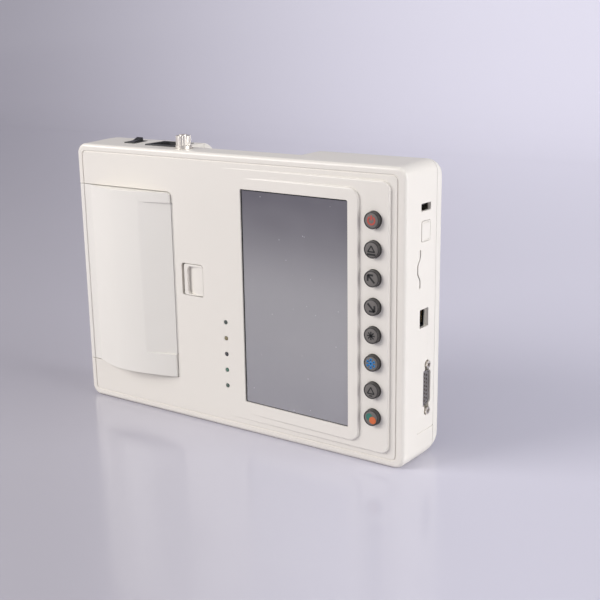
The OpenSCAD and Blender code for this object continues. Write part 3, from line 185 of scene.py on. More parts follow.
def rod(name, x, y, z, length, radius, axis="y", sides=32):
    """A cylinder that starts at the given point and runs along the axis."""
    clear_selection()
    turn = {"x": (0, math.pi / 2, 0), "y": (math.pi / 2, 0, 0), "z": (0, 0, 0)}[axis]
    step = {"x": (length / 2, 0, 0), "y": (0, length / 2, 0), "z": (0, 0, length / 2)}[axis]
    bpy.ops.mesh.primitive_cylinder_add(vertices=sides, radius=radius * MM, depth=length * MM,
                                        location=spot(x + step[0], y + step[1], z + step[2]),
                                        rotation=turn)
    piece = bpy.context.object
    piece.name = piece.data.name = name
    settle(piece)
    return piece


def join(pieces):
    clear_selection()
    for piece in pieces:
        piece.select_set(True)
    bpy.context.view_layer.objects.active = pieces[0]
    if len(pieces) > 1:
        bpy.ops.object.join()
    return bpy.context.view_layer.objects.active


def apply(piece, modifier):
    make_active(piece)
    bpy.ops.object.modifier_apply(modifier=modifier.name)


def combine(piece, tools, operation):
    tool = join(tools)
    modifier = piece.modifiers.new("combine", "BOOLEAN")
    modifier.operation = operation
    modifier.solver = "EXACT"
    modifier.object = tool
    apply(piece, modifier)
    bpy.data.objects.remove(tool)
    return piece


def carve(piece, *tools):
    return combine(piece, list(tools), "DIFFERENCE")


def fuse(piece, *tools):
    for tool in tools:
        combine(piece, [tool], "UNION")
    return piece


def keep(piece, tool):
    return combine(piece, [tool], "INTERSECT")


def soften(piece, width, steps=2, angle=38):
    modifier = piece.modifiers.new("soften", "BEVEL")
    modifier.width = width * MM
    modifier.segments = steps
    modifier.limit_method = "ANGLE"
    modifier.angle_limit = math.radians(angle)
    modifier.use_clamp_overlap = False
    modifier.miter_outer = "MITER_ARC"
    apply(piece, modifier)
    return piece


def tidy(piece, angle=40):
    """Merges doubles, smooths the gentle edges and keeps the flat faces flat."""
    with editing(piece):
        bpy.ops.mesh.select_all(action="SELECT")
        bpy.ops.mesh.remove_doubles(threshold=0.0000001)
    make_active(piece)
    bpy.ops.object.shade_smooth_by_angle(angle=math.radians(angle))
    modifier = piece.modifiers.new("weigh", "WEIGHTED_NORMAL")
    modifier.keep_sharp = True
    modifier.weight = 60
    apply(piece, modifier)
    return piece


def duplicate(piece, name, shift=(0, 0, 0)):
    copy = piece.copy()
    copy.data = piece.data.copy()
    copy.name = copy.data.name = name
    bpy.context.scene.collection.objects.link(copy)
    copy.data.transform(Matrix.Translation(Vector(shift) * MM))
    return copy


def split(piece, point, normal):
    """Cuts the piece with a plane and drops what lies on the side of the normal."""
    with editing(piece):
        bpy.ops.mesh.select_all(action="SELECT")
        bpy.ops.mesh.bisect(plane_co=point, plane_no=Vector(normal).normalized(), use_fill=True,
                            clear_outer=True)
    return piece


# ---- shader helper ----


class Value:
    """A socket in a material's tree; sums, products and so on of values add Math nodes."""

    def __init__(self, tree, socket):
        self.tree, self.socket = tree, socket

    def _maths(self, operation, first, second=None):
        return self.tree.add("ShaderNodeMath", {"operation": operation}, [first, second])

    def __add__(self, other):
        return self._maths("ADD", self, other)

    def __sub__(self, other):
        return self._maths("SUBTRACT", self, other)

    def __rsub__(self, other):
        return self._maths("SUBTRACT", other, self)

    def __mul__(self, other):
        return self._maths("MULTIPLY", self, other)

    def __truediv__(self, other):
        return self._maths("DIVIDE", self, other)

    def __lt__(self, other):
        return self._maths("LESS_THAN", self, other)

    def __abs__(self):
        return self._maths("ABSOLUTE", self)

    __radd__ = __add__
    __rmul__ = __mul__

    def power(self, other):
        return self._maths("POWER", self, other)

    def top(self, other):
        return self._maths("MAXIMUM", self, other)

    def between(self, low, high, new_low=0.0, new_high=1.0):
        return self.tree.add("ShaderNodeMapRange", {"interpolation_type": "SMOOTHSTEP"},
                             [self, low, high, new_low, new_high])


class Finish:
    """A material: add() makes any node, and the rest are the steps that most finishes share."""

    def __init__(self, name, colour, roughness, metallic=0.0, **sockets):
        self.material = bpy.data.materials.new(name)
        self.material.use_nodes = True
        self.nodes = self.material.node_tree.nodes
        self.links = self.material.node_tree.links
        self.shader = self.nodes["Principled BSDF"]
        self.material.diffuse_color = (*colour, 1)
        self.set("Base Color", (*colour, 1))
        self.set("Roughness", roughness)
        self.set("Metallic", metallic)
        for socket, value in sockets.items():
            self.set(socket.replace("_", " "), value)
        self.place = self.add("ShaderNodeTexCoord", out="Object")

    def set(self, name, value):
        if isinstance(value, Value):
            self.links.new(value.socket, self.shader.inputs[name])
        else:
            self.shader.inputs[name].default_value = value

    def add(self, kind, settings=None, sockets=(), out=0, **named):
        node = self.nodes.new(kind)
        for key, value in (settings or {}).items():
            setattr(node, key, value)
        pairs = list(zip(node.inputs, sockets)) if not isinstance(sockets, dict) else []
        if isinstance(sockets, dict):
            pairs = [(node.inputs[key], value) for key, value in sockets.items()]
        for socket, value in pairs:
            if isinstance(value, Value):
                self.links.new(value.socket, socket)
            elif value is not None:
                socket.default_value = value
        return Value(self, node.outputs[out])

    def part(self, axis):
        return self.add("ShaderNodeSeparateXYZ", sockets=[self.place], out=axis.upper())

    def noise(self, scale, detail=2.0, roughness=0.5, stretch=None):
        where = self.place
        if stretch:
            where = self.add("ShaderNodeMapping", sockets={"Vector": where, "Scale": stretch})
        return self.add("ShaderNodeTexNoise",
                        sockets={"Vector": where, "Scale": scale, "Detail": detail,
                                 "Roughness": roughness})

    def cells(self, scale):
        return self.add("ShaderNodeTexVoronoi", sockets={"Vector": self.place, "Scale": scale})

    def mix(self, first, second, factor, way="MIX"):
        node = self.nodes.new("ShaderNodeMix")
        node.data_type, node.blend_type = "RGBA", way
        for socket, value in ((node.inputs[0], factor), (node.inputs[6], first), (node.inputs[7], second)):
            if isinstance(value, Value):
                self.links.new(value.socket, socket)
            else:
                socket.default_value = value if socket is node.inputs[0] else (*value[:3], 1)
        return Value(self, node.outputs[2])

    def bump(self, height, strength, distance):
        self.set("Normal", self.add("ShaderNodeBump", sockets={"Height": height, "Strength": strength,
                                                                "Distance": distance}))
        return self

    def paint(self, colour):
        self.set("Base Color", colour)
        return self


def shade(colour, factor):
    return tuple(min(1.0, c * factor) for c in colour)


def moulded(name, colour, roughness=0.4, grain=1600, depth=0.00002, strength=0.25, tone=0.05, **sockets):
    """Injection-moulded plastic: a fine spark-eroded grain, faint flow clouds and uneven gloss."""
    finish = Finish(name, colour, roughness, **sockets)
    clouds = finish.noise(9, 3)
    finish.paint(finish.mix(shade(colour, 1 - tone), shade(colour, 1 + tone * 0.4), clouds))
    fine = finish.noise(grain, 2)
    finish.set("Roughness", fine * 0.08 + (clouds * 0.06 + (roughness - 0.07)))
    return finish.bump(fine, strength, depth)


def metal(name, colour, roughness, brushed=None, **sockets):
    """Bare or plated metal: drawn or turned lines when brushed, small stains otherwise."""
    finish = Finish(name, colour, roughness, 1.0, **sockets)
    lines = finish.noise(260, 4, 0.6, stretch=brushed or (1, 1, 1))
    stains = finish.noise(60, 3)
    finish.paint(finish.mix(shade(colour, 0.86), shade(colour, 1.05), stains))
    finish.set("Roughness", lines * 0.16 + (roughness - 0.08))
    return finish.bump(lines, 0.12, 0.00002)


case_white = moulded("case_white", (0.80, 0.765, 0.70), 0.36, Coat_Weight=0.12, Coat_Roughness=0.2)
rear_white = moulded("rear_white", (0.79, 0.76, 0.70), 0.42)
door_white = moulded("door_white", (0.80, 0.775, 0.72), 0.36, Coat_Weight=0.12, Coat_Roughness=0.2)
inner_grey = moulded("inner_grey", (0.55, 0.55, 0.53), 0.5)
black_matt = moulded("black_matt", (0.022, 0.022, 0.024), 0.45, grain=900)
black_gloss = moulded("black_gloss", (0.012, 0.012, 0.013), 0.2, tone=0.02)
key_rim = moulded("key_rim", (0.035, 0.032, 0.030), 0.42, grain=1200)
key_face = moulded("key_face", (0.155, 0.143, 0.132), 0.5, grain=1400, depth=0.00004)
symbol_black = moulded("symbol_black", (0.012, 0.012, 0.012), 0.5)
symbol_red = moulded("symbol_red", (0.52, 0.075, 0.05), 0.45)
symbol_blue = moulded("symbol_blue", (0.03, 0.27, 0.66), 0.45)
symbol_green = moulded("symbol_green", (0.03, 0.17, 0.13), 0.45)
symbol_orange = moulded("symbol_orange", (0.62, 0.14, 0.04), 0.45)
gear_white = moulded("gear_white", (0.72, 0.70, 0.62), 0.5)
socket_white = moulded("socket_white", (0.76, 0.75, 0.72), 0.35)
port_grey = moulded("port_grey", (0.15, 0.14, 0.138), 0.4)
rubber = moulded("rubber", (0.02, 0.02, 0.021), 0.75, grain=700, depth=0.00008, strength=0.5)
foam = moulded("foam", (0.015, 0.015, 0.015), 0.9, grain=400, depth=0.0002, strength=0.7)
wrap = moulded("battery_wrap", (0.03, 0.04, 0.06), 0.35, grain=500)
panel_back = moulded("panel_back", (0.12, 0.12, 0.13), 0.5)
steel = metal("steel", (0.60, 0.60, 0.61), 0.3, brushed=(1, 1, 30))
sheet = metal("sheet", (0.62, 0.63, 0.64), 0.36, brushed=(1, 1, 12))
nickel = metal("nickel", (0.72, 0.70, 0.66), 0.2)
dull_nickel = metal("dull_nickel", (0.80, 0.76, 0.70), 0.42)
spring = metal("spring", (0.50, 0.50, 0.51), 0.32)
brass = metal("brass", (0.72, 0.52, 0.22), 0.28)
gold = metal("gold", (0.85, 0.62, 0.28), 0.22)
aluminium = metal("aluminium", (0.68, 0.69, 0.70), 0.38, brushed=(1, 1, 20))


def board_finish():
    """Green board: copper tracks under the lacquer, and small vias."""
    finish = Finish("circuit_board", (0.02, 0.13, 0.06), 0.35, Coat_Weight=0.3)
    tracks = abs(finish.noise(160, 1, stretch=(1, 1, 0.25)) - 0.5) < 0.02
    vias = finish.cells(220) < 0.16
    finish.paint(finish.mix(finish.mix((0.015, 0.11, 0.05), (0.03, 0.20, 0.09), tracks),
                            (0.55, 0.48, 0.30), vias))
    return finish.bump(tracks, 0.3, 0.00003)


def paper_finish():
    """Thermal paper on the roll: its wound edge shows fine rings round the roll's axis."""
    finish = Finish("paper", (0.84, 0.82, 0.78), 0.6)
    centre = spot(ROLL_X, ROLL_Y, 0)
    across = finish.part("x") - centre.x
    deep = finish.part("y") - centre.y
    radius = (across * across + deep * deep).power(0.5)
    rings = finish.add("ShaderNodeMath", {"operation": "SINE"}, [radius * 9000])
    faint = finish.noise(300, 2)
    finish.paint(finish.mix((0.80, 0.78, 0.74), (0.86, 0.845, 0.81), rings * 0.35 + faint * 0.6))
    return finish.bump(rings, 0.2, 0.00003)


def lens_finish():
    """Window of the unlit display: a dark border, a smoky face with a painted reflection that is lightest near
    the middle and darkest at the top, and a few specks of dust.
    """
    finish = Finish("display_window", (0.13, 0.13, 0.15), 0.12, Coat_Weight=0.5, Coat_Roughness=0.04)
    up = finish.part("z")
    middle = GLASS_Z * MM
    # painted reflection: the face is painted lightest just above the middle, a little darker low down and much
    # darker at the top, in place of the floor mirrored in the glass
    lower = up.between(middle - GLASS_H * 0.5 * MM, middle + GLASS_H * 0.05 * MM)
    upper = up.between(middle + GLASS_H * 0.02 * MM, middle + GLASS_H * 0.5 * MM)
    smears = finish.noise(9, 2, stretch=(1, 1, 1.6))
    face = finish.mix((0.225, 0.22, 0.245), (0.315, 0.31, 0.325), lower)
    face = finish.mix(face, (0.11, 0.105, 0.125), upper)
    face = finish.mix(face, (0.36, 0.35, 0.375), smears.between(0.5, 0.8) * 0.25)
    dust = finish.cells(130) < 0.045
    finish.paint(finish.mix(face, (0.62, 0.62, 0.66), dust * 0.6))
    finish.set("Roughness", smears * 0.08 + 0.14)
    return finish


board_green = board_finish()
paper_white = paper_finish()
window = lens_finish()


def dress(piece, finish, body, stands_for=()):
    piece.data.materials.clear()
    piece.data.materials.append(finish.material)
    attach(piece, body)
    if stands_for:
        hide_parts(*stands_for)
    return piece


# ---- the case ----


def rear_inset(y, radius, t):
    start = CASE_D - radius
    if y <= start:
        return 0
    return (radius - t) - math.sqrt(max(0, (radius - t) ** 2 - (y - start) ** 2))


def case_block(name, t):
    """The closed form of the case, drawn in by t on every side."""
    x0, z1 = DRAFT + t, FACE_H - t
    piece = rounded_block(name, x0, CASE_W - x0, t, NOSE, t, z1, CORNER_R - t, "y", 10)
    z0 = t
    places = [FLARE, CASE_D - TOP_BACK_R]
    places += [CASE_D - TOP_BACK_R + (TOP_BACK_R - t) * math.sin(math.radians(9 * k)) for k in range(1, 11)]
    with editing(piece):
        pick(piece, "FACE", lambda f: f.normal.y > 0.99)
        y = NOSE
        for new_y in places:
            new_x0 = t + rear_inset(new_y, SIDE_BACK_R, t)
            new_z0 = t + rear_inset(new_y, BASE_BACK_R, t)
            new_z1 = CASE_H - t - rear_inset(new_y, TOP_BACK_R, t)
            bpy.ops.mesh.extrude_region_move(TRANSFORM_OT_translate={"value": (0, (new_y - y) * MM, 0)})
            bpy.ops.transform.resize(value=((CASE_W - 2 * new_x0) / (CASE_W - 2 * x0), 1,
                                            (new_z1 - new_z0) / (z1 - z0)),
                                     center_override=spot(CASE_W / 2, new_y, z0))
            bpy.ops.transform.translate(value=(0, 0, (new_z0 - z0) * MM))
            x0, z0, z1, y = new_x0, new_z0, new_z1, new_y
        if t < FRONT_R:
            front = spot(0, t, 0).y + 0.00001
            pick(piece, "EDGE", lambda e: e.verts[0].co.y < front and e.verts[1].co.y < front)
            bpy.ops.mesh.bevel(offset=(FRONT_R - t) * MM, segments=6, affect="EDGES")
    return piece


def raised_block(name, x0, x1, z0, z1, radius, rise0, rise1, edge):
    """A raised area: a block with round corners whose face climbs from rise0 to rise1."""
    piece = rounded_block(name, x0, x1, -9, 1.8, z0, z1, radius, "y", 10)
    split(piece, spot(x0, -rise0, 0), (rise0 - rise1, x0 - x1, 0))
    with editing(piece):
        pick(piece, "FACE", lambda f: f.normal.y < -0.95)
        bpy.ops.mesh.region_to_loop()
        bpy.ops.mesh.bevel(offset=edge * MM, segments=4, affect="EDGES")
    return piece


def grip_block(name, grow, y0, y1):
    """The grip recess as a long block whose floor climbs steeply, then gently, at the right end."""
    left, right, floor = GRIP_LEFT - grow, GRIP_RIGHT + grow, CASE_H - GRIP_DEEP - grow
    steep, gentle = right - 25, right - 17
    climbs = {left: CASE_H - 3, gentle: CASE_H - 5.5 - grow, right: CASE_H - grow / 2}
    piece = block(name, left, right, y0, y1, floor, CASE_H + 5)
    with editing(piece):
        for x in (left + 4, steep, gentle):
            bpy.ops.mesh.select_all(action="SELECT")
            bpy.ops.mesh.bisect(plane_co=spot(x, 0, 0), plane_no=(1, 0, 0))
        for x, z in climbs.items():
            low = spot(x, 0, floor)
            pick(piece, "VERT", lambda v: abs(v.co.x - low.x) < 1e-5 and abs(v.co.z - low.z) < 1e-5)
            bpy.ops.transform.translate(value=(0, 0, (z - floor) * MM))
    return piece


def display_place(piece):
    """Moves a piece from the display's own frame, measured from the glass centre, to the tilted front."""
    middle = (SURROUND_LEFT + SURROUND_RIGHT) / 2
    depth = (SURROUND_LEFT_RISE + SURROUND_RIGHT_RISE) / 2 + (GLASS_X - middle) * math.tan(SURROUND_TILT)
    piece.data.transform(Matrix.Translation(spot(GLASS_X, -depth, GLASS_Z))
                         @ Matrix.Rotation(-SURROUND_TILT, 4, "Z")
                         @ Matrix.Translation(-spot(0, 0, 0)))
    return piece


def key_rows():
    return [FACE_H / 2 + 3.5 * KEY_PITCH - i * KEY_PITCH for i in range(8)]


def light_rows():
    return [LIGHT_Z + i * LIGHT_PITCH for i in range(5)]


SCREWS = [(14, 15), (14, CASE_H - 18.5), (102, 14), (140, CASE_H - 31), (CASE_W - 13, 14),
          (CASE_W - 13, CASE_H - 18.5)]
FEET = [(x, z) for x in (30, CASE_W - 30) for z in (22, CASE_H - 22)]


def case_halves():
    shell = carve(case_block("front_shell", 0), case_block("hollow", WALL))
    tub = keep(grip_block("tub", 2.2, 15.8, CASE_D + 2), case_block("limit", WALL / 2))
    fuse(shell, tub)
    carve(shell, grip_block("grip", 0, 18, CASE_D + 3))
    rear = duplicate(shell, "rear_shell")
    keep(shell, block("fore", -5, CASE_W + 5, -20, SEAM - SEAM_GAP / 2, -5, CASE_H + 5))
    keep(rear, block("aft", -5, CASE_W + 5, SEAM + SEAM_GAP / 2, CASE_D + 9, -5, CASE_H + 5))
    return shell, rear


def round_corner(piece, x, z, radius):
    """Rounds the upright corner of a block at the given x and z, seen from the front."""
    with editing(piece):
        pick(piece, "EDGE", lambda e: along(e, "y") and abs(e.verts[0].co.x - spot(x, 0, 0).x) < 1e-5
             and abs(e.verts[0].co.z - z * MM) < 1e-5)
        bpy.ops.mesh.bevel(offset=radius * MM, segments=6, affect="EDGES")


def mouth(y, z, width, height, radius=0.5):
    """A straight hole through the right wall."""
    return rounded_block("mouth", CASE_W - WALL - 1, CASE_W + 2, y - width / 2, y + width / 2,
                         z - height / 2, z + height / 2, radius, "x", 4)


def d_block(name, x0, x1, grow=0.0):
    """The patient socket's own outline, one long side shorter than the other."""
    piece = block(name, x0, x1, PORT_Y - PORT_TALL / 2 - grow, PORT_Y + PORT_TALL / 2 + grow,
                  PORT_Z - PORT_LONG / 2 - grow, PORT_Z + PORT_LONG / 2 + grow)
    with editing(piece):
        pick(piece, "FACE", lambda f: f.normal.y > 0.9)
        bpy.ops.transform.resize(value=(1, 1, 1 - 3.4 / PORT_LONG))
        pick(piece, "EDGE", lambda e: along(e, "x"))
        bpy.ops.mesh.bevel(offset=2.0 * MM, segments=6, affect="EDGES")
    return piece


def port_screws():
    return [PORT_Z - PORT_SCREW / 2, PORT_Z + PORT_SCREW / 2]


def card_mouth():
    """The thin slot for the card, which bows to the front at its middle."""
    slot = block("card_mouth", CASE_W - WALL - 1, CASE_W + 2, CARD_Y + 0.1, CARD_Y + 1.4,
                 CARD_Z - CARD_W / 2, CARD_Z + CARD_W / 2)
    with editing(slot):
        for k in range(1, 26):
            bpy.ops.mesh.select_all(action="SELECT")
            bpy.ops.mesh.bisect(plane_co=spot(0, 0, CARD_Z + CARD_W * (k / 26 - 0.5)), plane_no=(0, 0, 1))
        mesh = bmesh.from_edit_mesh(slot.data)
        for vertex in mesh.verts:
            share = min(1, max(0, abs(vertex.co.z - CARD_Z * MM) / (CARD_BOW_H * MM) - 0.25) / 0.75)
            vertex.co.y -= CARD_BOW * MM * math.cos(share * math.pi / 2) ** 2
        bmesh.update_edit_mesh(slot.data)
    return slot


def side_mouths(shell):
    """Openings for the sockets in the right side."""
    carve(shell, card_mouth())
    carve(shell, mouth(USB_Y, USB_Z, USB_W, USB_H), mouth(BLANK_Y, BLANK_Z, BLANK_W - 2, BLANK_H - 2, 1),
          mouth(LAN_Y, LAN_Z, LAN_W, LAN_H))
    carve(shell, rounded_block("blank_seat", CASE_W - 1.5, CASE_W + 2, BLANK_Y - BLANK_W / 2,
                               BLANK_Y + BLANK_W / 2, BLANK_Z - BLANK_H / 2, BLANK_Z + BLANK_H / 2,
                               1.5, "x", 5))
    carve(shell, d_block("port_mouth", CASE_W - WALL - 1, CASE_W + 2, 0.9))
    low, high = port_screws()
    carve(shell, block("tabs", CASE_W - WALL - 1, CASE_W + 2, PORT_Y - 2.9, PORT_Y + 2.9, low, high))
    for z in (low, high):
        carve(shell, rod("screw_mouth", CASE_W - WALL - 1, PORT_Y, z, 6, 3.3, "x", 40))
    carve(shell, block("line", CASE_W - 0.5, CASE_W + 2, 18, SEAM + 1, 20.3, 20.9))


def finish_front(shell):
    fuse(shell,
         raised_block("panel", PANEL_LEFT - 20, PANEL_RIGHT, PANEL_IN, FACE_H - PANEL_IN, PANEL_R,
                      panel_rise(PANEL_LEFT - 20), PANEL_RISE, 1.0),
         raised_block("surround", SURROUND_LEFT, SURROUND_RIGHT, SURROUND_Z - SURROUND_H / 2,
                      SURROUND_Z + SURROUND_H / 2, SURROUND_R, SURROUND_LEFT_RISE,
                      SURROUND_RIGHT_RISE, 1.1))
    # groove round the rim
    left, low, right, inner = DRAFT + GROOVE_IN - 1, GROOVE_IN - 1, CASE_W - DRAFT - GROOVE_IN, GROOVE_W
    ring = rounded_block("groove", left, right, -1, 0.6, low, FACE_H - low, GROOVE_R, "y", 6)
    carve(ring, rounded_block("land", left + inner, right - inner, -2, 2, low + inner,
                              FACE_H - low - inner, GROOVE_R - inner, "y", 6))
    carve(shell, ring)
    # door and latch openings
    edge = DOOR_RIGHT + DOOR_GAP
    gap = block("door_gap", -3, edge, -3, WALL + 1, DOOR_LOW - DOOR_GAP, DOOR_TOP + DOOR_GAP)
    round_corner(gap, edge, DOOR_TOP + DOOR_GAP, 3 + DOOR_GAP)
    carve(shell, gap)
    carve(shell, block("hinge_gap", -3, HINGE_X + HINGE_R + 0.5, -1, HINGE_Y + HINGE_R + 0.5,
                       DOOR_LOW - DOOR_GAP, DOOR_TOP + DOOR_GAP))
    carve(shell, block("slot_gap", edge - 1, edge + 1, -3, WALL + 1, RAMP_LOW, RAMP_TOP))
    carve(shell, rounded_block("latch_gap", LATCH_LEFT, LATCH_LEFT + LATCH_W, -3, WALL + 1,
                               LATCH_Z - LATCH_H / 2, LATCH_Z + LATCH_H / 2, 2, "y", 5))
    # display opening, stepped behind for the glass and the panel
    half_w, half_h = GLASS_W / 2, GLASS_H / 2
    carve(shell, display_place(rounded_block("opening", -half_w, half_w, -4, 8, -half_h, half_h, 1, "y", 3)))
    lip = GLASS_LIP + 0.2
    carve(shell, display_place(rounded_block("seat", -half_w - lip, half_w + lip, GLASS_DEEP, 9,
                                             -half_h - lip, half_h + lip, 1, "y", 3)))
    carve(shell, display_place(block("pocket", -PANEL_HALF_W, PANEL_HALF_W, PANEL_DEEP, 12,
                                     -PANEL_HALF_H, PANEL_HALF_H)))
    # keys and lights
    carve(shell, *[rod("hole", KEY_X, -6, z, 12, KEY_D / 2 + KEY_GAP, "y", 48) for z in key_rows()])
    carve(shell, *[rod("hole", LIGHT_X, -6, z, 12, LIGHT_D / 2 + 0.1, "y", 24) for z in light_rows()])
    side_mouths(shell)
    # inlet, switch and post on the upper edge
    for hole, rim in ((INLET_HOLE, INLET_RIM), (SWITCH_HOLE, SWITCH_RIM)):
        carve(shell, block("hole", *hole, CASE_H - 9, CASE_H + 3))
        carve(shell, block("hole", *rim, FACE_H, CASE_H + 3))
    carve(shell, rod("hole", POST_X, POST_Y, FACE_H, 6, POST_SINK_R, "z", 40))
    # bosses and lugs inside
    inside = [rod("boss", x, WALL - 0.4, z, BOSS_END - WALL + 0.4, 4, "y", 24) for x, z in SCREWS]
    for low, high in ((LUG_LOW, DOOR_LOW - DOOR_GAP), (DOOR_TOP + DOOR_GAP, LUG_TOP)):
        inside.append(rod("lug", HINGE_X, HINGE_Y, low, high - low, HINGE_R, "z", 24))
    fuse(shell, *inside)
    soften(shell, 0.22)
    return tidy(shell)


def finish_rear(rear):
    lip = carve(case_block("lip", WALL + 0.25), case_block("lip_hollow", WALL + 1.45))
    keep(lip, block("lip_band", 0, CASE_W, SEAM - 2, SEAM + 1, 0, CASE_H))
    carve(lip, grip_block("lip_gap", 2.6, 15, CASE_D + 2))
    carve(lip, block("port_gap", CASE_W - 8, CASE_W, SEAM - 3, SEAM + 2, PORT_Z - 20.6, PORT_Z + 20.6))
    carve(rear, rounded_block("hatch_hole", HATCH_LEFT, HATCH_RIGHT, CASE_D - 3.5, CASE_D + 2,
                              HATCH_LOW, HATCH_TOP, 3, "y", 5))
    carve(rear, rounded_block("hatch_seat", HATCH_LEFT - 2, HATCH_RIGHT + 2, CASE_D - 1.8, CASE_D + 2,
                              HATCH_LOW - 2, HATCH_TOP + 2, 4, "y", 5))
    soften(rear, 0.22)
    fuse(rear, lip, *[rod("boss", x, BOSS_END, z, CASE_D - WALL + 0.2 - BOSS_END, 4.5, "y", 24)
                      for x, z in SCREWS])
    carve(rear, *[rod("sink", x, CASE_D - 4, z, 6, 3.1, "y", 28) for x, z in SCREWS])
    carve(rear, *[rod("seat", x, CASE_D - 0.6, z, 3, 8.1, "y", 40) for x, z in FEET])
    carve(rear, *[rod("bore", x, BOSS_END - 1, z, 12, 1.7, "y", 20) for x, z in SCREWS])
    return tidy(rear)


front_shell, rear_shell = case_halves()
dress(finish_front(front_shell), case_white, "case", ["front_case"])
dress(finish_rear(rear_shell), rear_white, "case", ["rear_case"])


# ---- the printer door ----


def hood_block(name, inset, low, high, back):
    """The hood as a solid, its face following the arch, drawn in by inset."""
    x0, x1 = DRAFT + inset, DOOR_RIGHT - inset
    piece = block(name, x0, x1, -1, back, low, high)
    stations = [HOOD_START + (x1 - HOOD_START) * k / 34 for k in range(34)]
    with editing(piece):
        for x in stations:
            bpy.ops.mesh.select_all(action="SELECT")
            bpy.ops.mesh.bisect(plane_co=spot(x, 0, 0), plane_no=(1, 0, 0))
        mesh = bmesh.from_edit_mesh(piece.data)
        for vertex in mesh.verts:
            if vertex.co.y < spot(0, -0.5, 0).y:
                x = vertex.co.x / MM + CASE_W / 2
                vertex.co.y = spot(0, hood(x + (inset if x < DOOR_RIGHT / 2 else 0)) + inset, 0).y
        bmesh.update_edit_mesh(piece.data)
    return piece


def ramp_strip(name, x0, sink, low, high):
    """Everything in front of the line that leads the paper out, moved back by sink."""
    piece = block(name, x0, DOOR_RIGHT + 1, -18, 8, low, high)
    return split(piece, spot(RAMP_LEFT, hood(RAMP_LEFT) + sink, 0),
                 (hood(RAMP_LEFT) - RAMP_Y, DOOR_RIGHT + 1 - RAMP_LEFT, 0))


def printer_door():
    door = hood_block("door_shell", 0, DOOR_LOW, DOOR_TOP, WALL)
    with editing(door):
        pick(door, "EDGE", lambda e: along(e, "z") and e.verts[0].co.x < spot(DRAFT, 0, 0).x + 1e-5
             and e.verts[0].co.y < spot(0, 1, 0).y)
        bpy.ops.mesh.bevel(offset=FRONT_R * MM, segments=5, affect="EDGES")
    round_corner(door, DOOR_RIGHT, DOOR_TOP, 3)
    skin = hood_block("door_skin", DOOR_T, DOOR_LOW + DOOR_T, DOOR_TOP - DOOR_T, WALL + 1)
    carve(door, skin)
    thick = keep(ramp_strip("thick", RAMP_LEFT - 4, 2.0, RAMP_LOW - 2, RAMP_TOP + 2),
                 hood_block("thick_limit", 0.4, RAMP_LOW - 3, RAMP_TOP + 3, WALL - 0.2))
    fuse(door, thick)
    carve(door, ramp_strip("ramp", RAMP_LEFT, 0, RAMP_LOW, RAMP_TOP))
    fuse(door, block("ramp_lip", DOOR_RIGHT - 2, DOOR_RIGHT + 1, RAMP_Y + 0.15, 1.7,
                     RAMP_LOW + 0.45, RAMP_TOP - 0.45))
    left = DRAFT + GROOVE_IN - 1
    carve(door, block("groove", left, left + GROOVE_W, -1, 0.6, DOOR_LOW - 1, DOOR_TOP + 1))
    fuse(door, block("side", DRAFT, DRAFT + DOOR_T, 2.3, HINGE_Y, DOOR_LOW, DOOR_TOP))
    soften(door, 0.3)
    fuse(door, rod("roll", HINGE_X, HINGE_Y, DOOR_LOW + 0.4, DOOR_TOP - DOOR_LOW - 0.8,
                   HINGE_R - 0.07, "z", 32))
    carve(door, rod("bore", HINGE_X, HINGE_Y, DOOR_LOW - 1, DOOR_TOP - DOOR_LOW + 2, 1.55, "z", 24))
    parts = []
    for z in (EAR_LOW, EAR_TOP):
        ear = block("ear", PLATEN_X - 6, PLATEN_X + 6, hood(PLATEN_X - 6) + 1.6, PLATEN_Y, z, z + EAR_T)
        split(ear, spot(PLATEN_X - 6, hood(PLATEN_X - 6) + 2.4, 0),
              (hood(PLATEN_X + 6) - hood(PLATEN_X - 6), -12, 0))
        fuse(ear, rod("eye", PLATEN_X, PLATEN_Y, z, EAR_T, 6, "z", 40))
        carve(ear, rod("eye_bore", PLATEN_X, PLATEN_Y, z - 1, EAR_T + 2, 4.02, "z", 32))
        parts.append(soften(ear, 0.2))
    for z in (HOOK_LOW, HOOK_TOP):
        lug = block("lug", 90.5, 92.9, hood(90.5) + 2, 7.2, z, z + HOOK_H)
        fuse(lug, block("nose", 88.7, 90.7, 5.4, 7.2, z, z + HOOK_H))
        parts.append(soften(lug, 0.15))
    fuse(door, *parts)
    return tidy(door)


dress(printer_door(), door_white, "door", ["printer_door"])


# ---- the latch ----


def latch_button():
    low, high = LATCH_Z - BUTTON_H / 2, LATCH_Z + BUTTON_H / 2
    button = rounded_block("latch_face", BUTTON_X, BUTTON_X + BUTTON_W, -0.2, 4.2, low, high, 1.6, "y", 5)
    x0, x1 = BUTTON_X + 3.2, BUTTON_X + BUTTON_W
    scoop = block("scoop", x0, x1 + 4, -4, 3, low + 0.6, high - 1.6)
    with editing(scoop):
        for k in range(1, 14):
            bpy.ops.mesh.select_all(action="SELECT")
            bpy.ops.mesh.bisect(plane_co=spot(x0 + (x1 - x0) * k / 14, 0, 0), plane_no=(1, 0, 0))
        mesh = bmesh.from_edit_mesh(scoop.data)
        for vertex in mesh.verts:
            if vertex.co.y > spot(0, 0, 0).y:
                share = min(1, max(0, (vertex.co.x - spot(x0, 0, 0).x) / MM / (x1 - x0)))
                vertex.co.y = spot(0, 0.2 + 2.6 * (1 - share) ** 1.7, 0).y
        bmesh.update_edit_mesh(scoop.data)
    keep(scoop, rounded_block("scoop_limit", x0, x1 + 6, -3.5, 3.5, low + 0.6, high - 1.6, 3.2, "y", 8))
    fuse(button, block("flange", BUTTON_X + 0.5, BUTTON_X + BUTTON_W + 2.4, WALL + 0.2, 5.2,
                       low - 3, high + 3))
    carve(button, scoop)
    return tidy(soften(button, 0.3, 2, 50))


dress(latch_button(), case_white, "latch", ["latch_button"])


# ---- display, keys and lights ----


